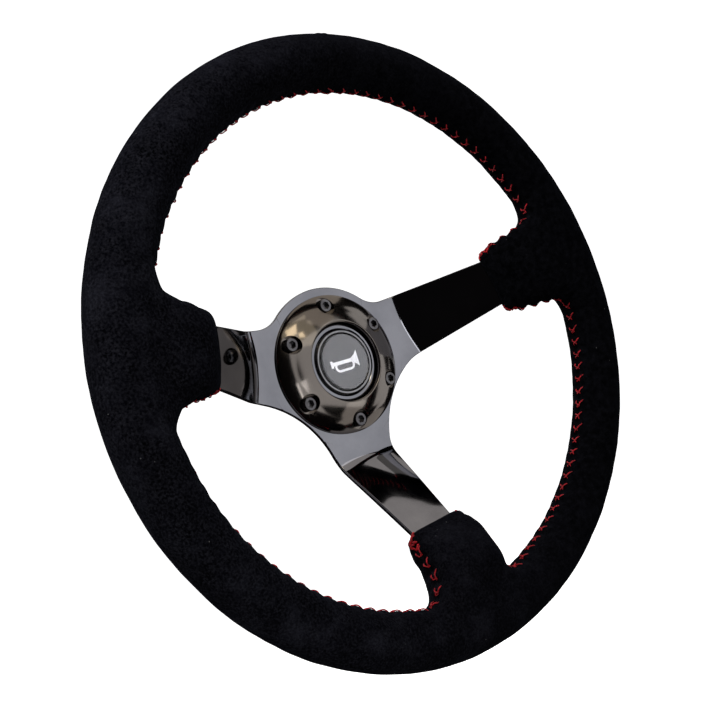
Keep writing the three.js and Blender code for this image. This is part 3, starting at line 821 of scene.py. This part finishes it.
def skin(field, voxel):
    """Points, triangles and quads of a field's zero surface."""
    counts = np.ceil((FIELD_HIGH - FIELD_LOW) / voxel).astype(int) + 1
    values = np.empty(counts, np.float32)
    ys = FIELD_LOW[1] + voxel * np.arange(counts[1])
    zs = FIELD_LOW[2] + voxel * np.arange(counts[2])
    for start in range(0, counts[0], SLAB):
        xs = FIELD_LOW[0] + voxel * np.arange(start, min(start + SLAB, counts[0]))
        x, y, z = (a.ravel() for a in np.meshgrid(xs, ys, zs, indexing="ij"))
        values[start:start + len(xs)] = far_or(field, x, y, z).reshape(len(xs), counts[1], counts[2])
    grid = openvdb.FloatGrid(FAR)
    grid.copyFromArray(values)
    points, triangles, quads = grid.convertToPolygons(isovalue=0.0, adaptivity=0.0)
    return points * voxel + FIELD_LOW, triangles, quads


# ---- seams ----

SEAM_HEIGHT = DISH - 2.1  # on the rim, a little behind its middle
SEAM_AHEAD = 2.2  # on a lobe's side, how far in front of its middle
SEAM_RAYS = 900  # cast from inside an opening to find the seam round it
RAY_STEP = 0.25

# the openings: the spokes on either side, and the place the rays start from
GAPS = {
    "top": ("right", "left", (0, 70)),
    "lower_left": ("left", "bottom", turn((98, 0), (SPOKES["left"] + SPOKES["bottom"]) / 2)),
    "lower_right": ("bottom", "right", turn((98, 0), (SPOKES["bottom"] + SPOKES["right"] + 360) / 2)),
}


def seam_height(x, y):
    """Height of the seam on the rim or on a lobe's side."""
    height = np.full_like(x, SEAM_HEIGHT)
    for _, near, r, s in near_spokes(x, y):
        fade = smooth_step(np.abs(s), lobe_column(r, 3) + 1, 16)
        height[near] = (lobe_column(r, 1) + SEAM_AHEAD) * (1 - fade) + SEAM_HEIGHT * fade
    return height


def corner(name, sense):
    """The middle of a collar's side, where a seam ends; sense is 1 on the counter-clockwise side."""
    return turn((COLLAR_ENDS[name][sense > 0] + 2.5, sense * 18.0), SPOKES[name])


def seam_line(gap):
    """Points along a seam on the cover, from one collar round the rim to the next."""
    first, second, (cx, cy) = GAPS[gap]
    start, end = (math.atan2(y - cy, x - cx) for x, y in (corner(first, 1), corner(second, -1)))
    span = (end - start) % (2 * math.pi)
    line = []
    distances = np.arange(2, 220, RAY_STEP)
    for i in range(SEAM_RAYS):
        bearing = start + span * i / (SEAM_RAYS - 1)
        x = cx + distances * math.cos(bearing)
        y = cy + distances * math.sin(bearing)
        ray = np.stack([x, y, seam_height(x, y)])
        level = body_field(*ray)
        k = np.argmax(level < 0) - 1
        t = level[k] / (level[k] - level[k + 1])
        line.append(ray[:, k] + t * (ray[:, k + 1] - ray[:, k]))
    return resampled(np.array(line), 0.5)


def resampled(line, step):
    """The same line with its points a step apart."""
    lengths = np.concatenate([[0], np.cumsum(np.linalg.norm(np.diff(line, axis=0), axis=1))])
    at = np.linspace(0, lengths[-1], int(lengths[-1] / step) + 1)
    return np.stack([np.interp(at, lengths, line[:, k]) for k in range(3)], axis=1)


class Seam:
    """A laced seam: its line, and the places of its stitches along it."""

    def __init__(self, gap):
        self.gap = gap
        self.line = seam_line(gap)
        steps = np.linalg.norm(np.diff(self.line, axis=0), axis=1)
        self.length = steps.sum()
        self.step = self.length / (len(self.line) - 1)
        self.count = round((self.length - 2 * SEAM_END) / STITCH_PITCH)
        self.pitch = (self.length - 2 * SEAM_END) / self.count

    def at(self, distance):
        """(point, direction) at a distance along the seam."""
        place = np.clip(distance / self.step, 0, len(self.line) - 1)
        i = int(min(place, len(self.line) - 2))
        a, b = self.line[i], self.line[i + 1]
        along = self.line[min(i + 6, len(self.line) - 1)] - self.line[max(i - 6, 0)]
        return Vector(a + (b - a) * (place - i)), Vector(along).normalized()


SEAMS = [Seam(gap) for gap in GAPS]


LOBE_EDGE = 134  # radius inside which a point is on a lobe, where the suede puckers more
PUCKER_REACH = 15.0
PUCKER_FADE = 6.5
GROOVE = 0.8  # depth of the groove that the seam itself makes


def pucker(points):
    """How far the lacing pulls in or lets out the cover at each point, along its normal."""
    tree = KDTree(sum(len(s.line) for s in SEAMS))
    owners = []
    for seam in SEAMS:
        for i, p in enumerate(seam.line):
            tree.insert(Vector(p), len(owners))
            owners.append((seam, i))
    tree.balance()
    made = np.zeros(len(points))
    radius = np.hypot(points[:, 0], points[:, 1])
    for k in np.nonzero(radius < RIM_CENTRE + 2)[0]:
        _, owner, away = tree.find(Vector(points[k]))
        if away > PUCKER_REACH:
            continue
        seam, i = owners[owner]
        swell = abs(math.sin(math.pi * (i * seam.step - SEAM_END) / seam.pitch))
        on_lobe = 1 - min(1, max(0, (radius[k] - LOBE_EDGE) / 10))
        billow = (1.5 + 0.9 * on_lobe) * (swell - 0.62 + 0.2 * on_lobe)
        made[k] = billow * math.exp(-(away / PUCKER_FADE) ** 2) - GROOVE * math.exp(-away ** 2)
    return made


def creases(points):
    """The slight unevenness of hand-stretched suede."""
    return np.array([0.34 * noise.noise(v * 0.045) + 0.16 * noise.noise(v * 0.14)
                     for v in map(Vector, points)])


def cross_seam(points):
    """The raised join across the rim at twelve o'clock."""
    away = np.abs(points[:, 0])
    ridge = 0.5 * np.exp(-((away - 1.6) / 1.2) ** 2) - 0.55 * np.exp(-(away / 0.7) ** 2)
    return np.where((points[:, 1] > 0) & (away < 9), ridge, 0)


def vertex_normals(mesh):
    normals = np.empty(len(mesh.vertices) * 3, np.float32)
    mesh.vertices.foreach_get("normal", normals)
    return normals.reshape(-1, 3).astype(float)


def skin_mesh(name, field, voxel):
    points, triangles, quads = skin(field, voxel)
    mesh = bpy.data.meshes.new(name)
    mesh.from_pydata(points.tolist(), [], triangles.tolist() + quads.tolist())
    mesh.update()
    return mesh, points


def cover_mesh():
    """The whole suede cover, puckered along its seams, flat-lying in millimetres."""
    mesh, points = skin_mesh("cover", cover_field, VOXEL)
    faced_outwards(mesh)
    normals = vertex_normals(mesh)
    outward = np.array(body_field(*(points + normals * 0.4).T) - body_field(*points.T))
    facing = normals * np.where(outward < 0, -1, 1)[:, None]
    lift = pucker(points) + creases(points) + cross_seam(points)
    room = RIM_DIAMETER / 2 - 0.1 - np.hypot(points[:, 0], points[:, 1])
    lift = np.minimum(lift, np.maximum(room, 0) + 0.35)
    moved = points + facing * lift[:, None]
    mesh.vertices.foreach_set("co", moved.astype(np.float32).ravel())
    mesh.update()
    return mesh


def half_of(mesh, side, name):
    """The right (1) or left (-1) half of a mesh, closed along the cut."""
    work = bmesh.new()
    work.from_mesh(mesh)
    parts = [*work.verts, *work.edges, *work.faces]
    cut = bmesh.ops.bisect_plane(work, geom=parts, plane_co=(side * 0.01, 0, 0), plane_no=(-side, 0, 0),
                                 clear_outer=True)
    edges = [e for e in cut["geom_cut"] if isinstance(e, bmesh.types.BMEdge)]
    for face in work.faces:
        face.smooth = True
    for face in bmesh.ops.holes_fill(work, edges=edges)["faces"]:
        face.smooth = False
    half = bpy.data.meshes.new(name)
    work.to_mesh(half)
    work.free()
    half.normals_split_custom_set_from_vertices(cut_normals(half, mesh))
    return half


def cut_normals(half, whole):
    """The half's normals, with the whole cover's along the cut, so that the join doesn't show."""
    normals = vertex_normals(half)
    whole_normals = vertex_normals(whole)
    near = [v for v in whole.vertices if abs(v.co.x) < 3]
    tree = KDTree(len(near))
    for v in near:
        tree.insert(v.co, v.index)
    tree.balance()
    for v in half.vertices:
        if abs(v.co.x) < 1.5:
            normals[v.index] = whole_normals[tree.find(v.co)[1]]
    return normals.tolist()


def suede_cover():
    """The cover's two halves; gives back the whole, still lying flat."""
    whole = cover_mesh()
    for side, word in ((1, "right"), (-1, "left")):
        half = half_of(whole, side, f"suede_{word}")
        half.transform(STAND)
        piece = as_piece(half.name, half, SUEDE_BLACK, [f"suede_cover_{word}"])
    return whole


def rim_padding():
    mesh, _ = skin_mesh("rim_padding", foam_field, FOAM_VOXEL)
    mesh.transform(STAND)
    faced_outwards(mesh, 60)
    piece = as_piece("rim_padding", mesh, FOAM_BLACK, ["rim_foam"])


# ---- lacing ----

class Surface:
    """The cover's outside, for laying thread on."""

    def __init__(self, mesh):
        self.tree = BVHTree.FromPolygons([v.co for v in mesh.vertices], [p.vertices for p in mesh.polygons])

    def lay(self, point, height):
        """The nearest place on the outside to a point, raised by a height."""
        _, normal, _, _ = self.tree.find_nearest(point)
        ahead, behind = body_field(*np.array([point + normal, point - normal]).T)
        if ahead < behind:
            normal.negate()
        place, face_normal, _, _ = self.tree.find_nearest(point + normal * 3)
        if face_normal.dot(normal) < 0:
            face_normal.negate()
        return place + face_normal * height


def stitch_leg(surface, start, end):
    """One visible leg of a stitch, arching from hole to hole."""
    steps = 7
    path = []
    for i in range(steps + 1):
        t = i / steps
        arch = math.sin(math.pi * min(max(t, 0.06), 0.94)) ** 0.5
        path.append(surface.lay(start.lerp(end, t), (STITCH_ARCH + HOLE_DEPTH) * arch - HOLE_DEPTH))
    return tube(path, THREAD_RADIUS, 6, 0.8)


def laced_piece(name, threads, stands_for):
    solid_piece(name, gathered(threads), LACING_RED, [stands_for], sharp=60)


def lacing(surface):
    """The red herringbone stitches along each seam."""
    rng = np.random.default_rng(7)
    for seam in SEAMS:
        legs = []
        for k in range(seam.count):
            jitter = rng.uniform(-0.35, 0.35, 4)
            point, along = seam.at(SEAM_END + (k + 0.5) * seam.pitch)
            outward = Vector((point.x, point.y, 0)).normalized()
            across = (Vector((0, 0, 1)) - along * along.z).normalized()
            apex = point - along * (STITCH_HALF + jitter[0])
            for sign, width, far in ((1, LEG_FRONT, jitter[1]), (-1, LEG_BACK, jitter[2])):
                end = point + along * (STITCH_HALF + far) + across * sign * (width + jitter[3])
                legs.append(stitch_leg(surface, apex + across * sign * 0.15, end + outward * 0.2))
        laced_piece(f"lacing_{seam.gap}", legs, f"seam_thread_{seam.gap}")


def collar_knot(surface, name, letter, sense):
    """Turns of thread pulled tight round a collar's corner."""
    turns, steps = 4, 12
    wraps = []
    for k in range(turns):
        reach = COLLAR_ENDS[name][sense > 0] + 1.3 + 0.95 * k
        path = []
        for i in range(steps + 1):
            swing = rad(-50 + 150 * i / steps)
            up = 3.6 * math.sin(swing)
            side = sense * (17.2 + 3 * math.cos(swing))
            lean = 0.5 * (k - 1.5) * math.sin(swing)
            x, y = turn((reach + lean - up * math.sin(SPOKE_RISE), side), SPOKES[name])
            height = arm_height(reach) + up * math.cos(SPOKE_RISE)
            path.append(surface.lay(Vector((x, y, height)), -0.6 if i in (0, steps) else 0.35))
        wraps.append(tube(path, KNOT_RADIUS, 6, 0.7))
    laced_piece(f"collar_knot_{name}_{letter}", wraps, f"collar_tie_{name}_{letter}")


# ---- horn ring and bolts ----

def cylinder(x, y, radius, low, high, segments=48):
    points, faces = lathe([(0, low), (radius, low), (radius, high), (0, high)], segments)
    return mesh_from("tool", points, faces, Matrix.Translation((x, y, 0)))


def cut_away(mesh, tools):
    """mesh less each tool, by exact booleans."""
    body = linked("body", mesh)
    helpers = [linked("tool", tool) for tool in tools]
    for helper in helpers:
        step = body.modifiers.new("cut", "BOOLEAN")
        step.operation = "DIFFERENCE"
        step.solver = "EXACT"
        step.object = helper
    bpy.context.view_layer.update()
    result = bpy.data.meshes.new_from_object(body.evaluated_get(bpy.context.evaluated_depsgraph_get()))
    for o in [body, *helpers]:
        bpy.data.objects.remove(o)
    return result


def bowed(start, end, bulge, steps):
    """Points of a profile from start to end, bowed out by bulge half way."""
    line = np.linspace(start, end, steps + 1)
    line[:, 1] += bulge * np.sin(np.linspace(0, math.pi, steps + 1))
    return [tuple(p) for p in line]


def horn_ring():
    """The domed ring, with its six holes and counterbores cut through it."""
    floor = PLATE + GAP
    crease = CREASE_RADIUS, CREASE_HEIGHT
    dome = bowed(crease, (MOUTH_RADIUS + 0.8, MOUTH_HEIGHT), 0.12, 10)
    slope = bowed((RING_RADIUS - 0.9, floor + 2), crease, 0.35, 8)
    wall = [(RING_RADIUS, floor), (RING_RADIUS, floor + 1.2)]
    profile = [(MOUTH_RADIUS, floor), *wall, *slope, *dome[1:], (MOUTH_RADIUS, MOUTH_HEIGHT - 0.8)]
    ring = mesh_from("ring", *lathe(rounded(profile, 0.5, True), 192, True))
    tools = []
    for x, y in BOLT_PLACES:
        tools.append(cylinder(x, y, BOLT_HOLE, 0, MOUTH_HEIGHT))
        tools.append(cylinder(x, y, COUNTERBORE, COUNTERBORE_FLOOR, 2 * MOUTH_HEIGHT, 64))
    mesh = cut_away(ring, tools)
    faced_outwards(mesh, 32)
    as_piece("horn_ring_plated", mesh, BRONZE_CHROME, ["horn_ring"])


def thread_ridges(low, high, radius, pitch=0.8, sides=20):
    """A screw thread along z as a helical loft round a core."""
    turns = (high - low) / pitch
    count = int(turns * sides)
    rows = []
    for i in range(count + 1):
        angle = 2 * math.pi * i / sides
        z = low + pitch * i / sides
        fade = min(1, i / sides, (count - i) / sides)
        tip = radius - 0.42 * (1 - fade) - 0.02
        for r, dz in ((radius - 0.5, -0.4), (tip, 0), (radius - 0.5, 0.4)):
            rows.append((r * math.cos(angle), r * math.sin(angle), z + dz))
    faces = []
    for i in range(count):
        a, b = 3 * i, 3 * i + 3
        faces += [(a, b, b + 1, a + 1), (a + 1, b + 1, b + 2, a + 2), (a + 2, b + 2, b, a)]
    faces += [(0, 1, 2), (3 * count + 2, 3 * count + 1, 3 * count)]
    return rows, faces


def hub_bolt(number, x, y):
    """An M5 socket cap screw: knurled head, chamfered rim, hexagon socket and a threaded shank."""
    top = BOLT_SEAT + 5
    end = BOLT_SEAT - BOLT_LENGTH
    sides = 72
    rings = []
    for radius, z, knurl in ((4.0, BOLT_SEAT, 0), (4.35, BOLT_SEAT + 0.35, 0),
                             (4.35, BOLT_SEAT + 0.6, 0.16), (4.35, top - 0.85, 0.16),
                             (4.3, top - 0.6, 0), (3.8, top - 0.06, 0), (3.6, top, 0)):
        rings.append(ring_of([radius, radius - knurl] * (sides // 2), z))
    turned = 17 * number  # each screw's socket stops at its own angle
    angles = [rad((360 * k / sides + turned) % 60 - 30) for k in range(sides)]
    for half_flats, z in ((HEX_ACROSS_FLATS / 2 + 0.28 * math.cos(rad(30)), top),
                          (HEX_ACROSS_FLATS / 2, top - 0.28), (HEX_ACROSS_FLATS / 2, top - 2.6)):
        rings.append(ring_of([half_flats / math.cos(a) for a in angles], z))
    head = [p for ring in rings for p in ring], ring_faces(len(rings), sides)
    neck = BOLT_SEAT + 0.1
    shank = lathe([(0, end), (1.7, end), (2.05, end + 0.6), (2.05, neck), (0, neck)], 32)
    ridges = thread_ridges(end + 0.6, BOLT_SEAT - 0.6, 2.5)
    solid_piece(f"cap_screw_{number}", gathered([head, shank, ridges]), BLACK_STEEL,
                [f"hub_bolt_{number}"], sharp=25, place=Matrix.Translation((x, y, 0)))


# ---- horn button ----

BEZEL_INNER, BEZEL_TOP, BUTTON_RADIUS = 20.8, 10.7, 24.5
HOUSING_TOP, HOUSING_BASE = 6.5, -10.8
CAP_FLOOR, CAP_CEILING, CAP_STEP, CAP_TOP = 4.2, 7.7, 9.2, 10.8
TRIM_INNER, TRIM_OUTER, EMBLEM_RADIUS = 18.3, 20.3, 17.4
BASE_TOP = -7
SPRING_RADIUS, SPRING_WIRE, SPRING_TURNS = 14, 0.7, 4
MARK_SIZE = 1.5  # of the pictogram, against the outline written out below


def button_shell():
    low = HOUSING_TOP + GAP
    outside = [(BUTTON_RADIUS, low), (BUTTON_RADIUS, BEZEL_TOP - 1.6)]
    crown = [(BUTTON_RADIUS - 0.35, BEZEL_TOP - 0.7), (23.5, BEZEL_TOP - 0.15), (22.65, BEZEL_TOP),
             (21.8, BEZEL_TOP - 0.15), (BEZEL_INNER + 0.25, BEZEL_TOP - 0.7)]
    profile = [(BEZEL_INNER, low), *outside, *crown, (BEZEL_INNER, BEZEL_TOP - 1.6)]
    turned_piece("bezel_plated", profile, BLACK_CHROME, ["button_bezel"], radius=0.8)
    lip = HOUSING_BASE + 1.5
    flange = [(BUTTON_RADIUS, 0.4), (26.2, 0.4), (26.2, PLATE), (BUTTON_RADIUS, PLATE)]
    outside = [(18, HOUSING_BASE), (BUTTON_RADIUS, HOUSING_BASE), *flange, (BUTTON_RADIUS, HOUSING_TOP)]
    profile = [*outside, (22.3, HOUSING_TOP), (22.3, lip), (18, lip)]
    turned_piece("housing_moulded", profile, SATIN_PLASTIC, ["button_housing"])


def button_face():
    shoulder = HOUSING_TOP - GAP
    neck = BEZEL_INNER - 0.4
    skirt = [(17, CAP_CEILING), (17, CAP_FLOOR), (21.8, CAP_FLOOR), (21.8, shoulder)]
    step = [(neck, shoulder), (neck, CAP_STEP), (TRIM_INNER - GAP, CAP_STEP)]
    profile = [(0, CAP_CEILING), *skirt, *step, (TRIM_INNER - GAP, CAP_TOP), (0, CAP_TOP)]
    turned_piece("cap_gloss", profile, GLOSS_PLASTIC, ["button_cap"], body=BUTTON)
    low = CAP_STEP + GAP
    top = low + 2
    profile = [(TRIM_INNER, low), (TRIM_OUTER, low), (TRIM_OUTER, top - 0.5), (TRIM_OUTER - 0.5, top),
               (TRIM_INNER + 0.5, top), (TRIM_INNER, top - 0.5)]
    turned_piece("trim_ring_bright", profile, BRIGHT_TRIM, ["cap_trim_ring"], body=BUTTON,
                 radius=0.3)
    low = CAP_TOP + GAP
    profile = [(0, low), (EMBLEM_RADIUS, low), (EMBLEM_RADIUS, low + 0.35), (0, low + 0.35)]
    turned_piece("emblem_plate", profile, EMBLEM_GREY, ["emblem_disc"], body=BUTTON,
                 radius=0.1)
    horn_mark(low + 0.35)
    low = CAP_TOP + 2 * GAP + 0.4
    angles = [rad(90 * i / 14) for i in range(14)]
    dome = [(EMBLEM_RADIUS * math.cos(a), low + 0.35 + 1.15 * math.sin(a)) for a in angles]
    profile = [(0, low), (EMBLEM_RADIUS, low), *dome, (0, low + 1.5)]
    turned_piece("dome_lens", profile, RESIN_CLEAR, ["emblem_lens"], body=BUTTON,
                 radius=0.05, segments=128)


def flat_shape(outline, low, high):
    """A flat prism of an outline, at the pictogram's size."""
    points = [(MARK_SIZE * x, MARK_SIZE * y, z) for z in (low, high) for x, y in outline]
    return points, ring_faces(2, len(outline))


def horn_mark(low):
    """The usual bugle pictogram of a horn button, printed in the middle of the disc."""
    high = low + 0.06
    bell = [(3.2, 0.9), (5.2, 2.0), (6.6, 3.6), (6.6, -3.6), (5.2, -2.0), (3.2, -0.9)]
    pipe = [(-6.2, 0.75), (3.6, 0.75), (3.6, -0.75), (-6.2, -0.75)]
    mouthpiece = [(-7.4, 1.5), (-6.4, 1.5), (-6.0, 0.5), (-6.0, -0.5), (-6.4, -1.5), (-7.4, -1.5)]
    outer, inner = (arc(2.0, -1.6, r, rad(90), rad(-90), 16) + arc(-3.4, -1.6, r, rad(-90), rad(-270), 16)
                    for r in (2.3, 1.3))
    parts = [flat_shape(s, low, high) for s in (bell, pipe, mouthpiece)]
    for i in range(len(outer)):
        # the loop is a little lower than the pipe, so that their faces don't coincide
        parts.append(flat_shape([outer[i - 1], outer[i], inner[i], inner[i - 1]], low, low + 0.04))
    solid_piece("horn_pictogram", gathered(parts), MARK_WHITE, body=BUTTON)


def return_spring():
    """The coil under the cap, from the ground ring up to the cap; it rides on no body."""
    low = BASE_TOP + 2 * GAP + 0.8 + SPRING_WIRE
    high = CAP_CEILING - GAP - SPRING_WIRE
    steps = 40 * SPRING_TURNS
    path = []
    for i in range(steps + 1):
        x, y = turn((SPRING_RADIUS, 0), 360 * SPRING_TURNS * i / steps)
        path.append((x, y, low + (high - low) * i / steps))
    coil = tube(path, SPRING_WIRE, 12)
    piece = solid_piece("coil_spring", coil, ZINC_STEEL, ["horn_spring"], body=None)
    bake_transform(piece)


def finish_hidden_parts():
    """Gives the nodes that stay as they are in the frame their own finishes, by how their names start."""
    finishes = {
        "rim_core_ring": ZINC_STEEL,
        "spoke_rivet": ZINC_STEEL,
        "moving_contact": BRASS,
        "fixed_contact": BRASS,
        "ground_ring": BRASS,
        "terminal_": BRASS,
        "contact_base": PHENOLIC,
    }
    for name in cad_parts:
        for start, finish in finishes.items():
            if name.startswith(start):
                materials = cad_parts[name].data.materials
                materials.clear()
                materials.append(finish)


# ---- studio ----

STUDIO_WHITE = (0.9, 0.9, 0.9, 1)


def studio_floor():
    """A round white floor that curves up into a wall, and glows so that no shadow shows on it."""
    floor, radius, cove = -0.62, 3.2, 1.2
    angles = [rad(90 * i / 16) for i in range(17)]
    curve = [(radius - cove + cove * math.sin(a), floor + cove - cove * math.cos(a)) for a in angles]
    points, faces = lathe([(0, floor), *curve, (radius, floor + 4.5)])
    mesh = bpy.data.meshes.new("studio_floor")
    mesh.from_pydata(points, [], faces)
    for face in mesh.polygons:
        face.use_smooth = True
    white = Finish("studio_white", Base_Color=STUDIO_WHITE, Emission_Color=STUDIO_WHITE,
                   Emission_Strength=1.25)
    mesh.materials.append(white.material)
    floor_object = linked("studio_floor", mesh)
    floor_object.visible_glossy = False
    floor_object.visible_diffuse = False


def direction(azimuth, elevation):
    """Unit vector; azimuth 0 is in front of the wheel, 90 on the driver's right."""
    a, e = rad(azimuth), rad(elevation)
    return Vector((math.sin(a) * math.cos(e), -math.cos(a) * math.cos(e), math.sin(e)))


def softbox(name, azimuth, elevation, width, height, brightness, *, colour=(1, 1, 1), distance=1.3,
            mirrored=True):
    """A soft rectangular lamp facing the wheel; brightness is how bright its face looks.

    A mirrored one shows in the chrome and leaves the cloth alone; the others light the cloth and don't
    show in the chrome."""
    lamp = bpy.data.lights.new(name, "AREA")
    lamp.shape = "RECTANGLE"
    lamp.size = width
    lamp.size_y = height
    lamp.energy = brightness * math.pi * width * height
    lamp.color = colour
    holder = linked(name, lamp)
    out = direction(azimuth, elevation)
    holder.location = out * distance
    holder.rotation_euler = out.to_track_quat("Z", "Y").to_euler()
    holder.visible_camera = False
    holder.visible_diffuse = not mirrored
    holder.visible_glossy = mirrored


def lighting():
    """Panels all round for the chrome to mirror, and soft lamps that light only the suede and plastic."""
    softbox("front", 33, 0, 3.1, 2.05, 1.0)
    softbox("bounce", 60, -52, 1.3, 0.9, 0.7, colour=(1, 0.96, 0.92))
    softbox("streak", -18, -20, 0.08, 0.7, 3.0)
    softbox("warm_glow", -6, 39, 0.8, 0.6, 0.8, colour=(1, 0.92, 0.74))
    softbox("warm_core", -9, 41, 0.34, 0.28, 4.2, colour=(1, 0.84, 0.58))
    softbox("ceiling", 72, 66, 2.0, 1.25, 0.74, colour=(1, 0.92, 0.82))
    softbox("rear", 175, 12, 1.8, 1.0, 0.8)
    softbox("left", -115, 15, 0.8, 1.2, 0.6)
    softbox("key", -52, 52, 0.8, 0.8, 3.6, distance=0.8, mirrored=False)
    softbox("low_key", -45, -50, 0.8, 0.8, 1.0, distance=0.8, mirrored=False)
    softbox("fill", 20, 10, 1.4, 1.2, 0.5, mirrored=False)
    softbox("right_fill", 104, 14, 1.2, 1.2, 1.8, mirrored=False)
    softbox("back_fill", 170, 30, 1.6, 1.2, 2.4, mirrored=False)
    # a nearly black room, so that chrome turned away from every panel stays dark
    world = bpy.data.worlds.new("studio")
    world.use_nodes = True
    background = world.node_tree.nodes["Background"]
    background.inputs["Color"].default_value = (0.008, 0.007, 0.007, 1)
    background.inputs["Strength"].default_value = 1
    bpy.context.scene.world = world


def camera():
    """The photograph's view, fitted to the outlines of the rim and hub and to the six screws."""
    right = Vector((0.7755, -0.5574, -0.2963))
    up = Vector((0.2467, -0.1644, 0.9550))
    forward = right.cross(up) * -1
    data = bpy.data.cameras.new("view")
    data.sensor_width = 36
    data.lens = 37.97
    data.shift_x = 0.0080
    data.shift_y = 0.0392
    data.clip_start = 0.01
    holder = linked("view", data)
    rotation = Matrix((right, up, -forward)).transposed().to_4x4()
    holder.matrix_world = Matrix.Translation((-0.2731, -0.3940, -0.0116)) @ rotation
    bpy.context.scene.camera = holder
    bpy.context.scene.view_settings.view_transform = "Standard"


# ---- the model ----

camera()
lighting()
studio_floor()

spoke_plate()
cover_surface = Surface(suede_cover())
rim_padding()
lacing(cover_surface)
for spoke_name in SPOKES:
    collar_knot(cover_surface, spoke_name, "a", -1)
    collar_knot(cover_surface, spoke_name, "b", 1)
horn_ring()
for bolt_number, (bolt_x, bolt_y) in enumerate(BOLT_PLACES, 1):
    hub_bolt(bolt_number, bolt_x, bolt_y)
button_shell()
button_face()
return_spring()
finish_hidden_parts()
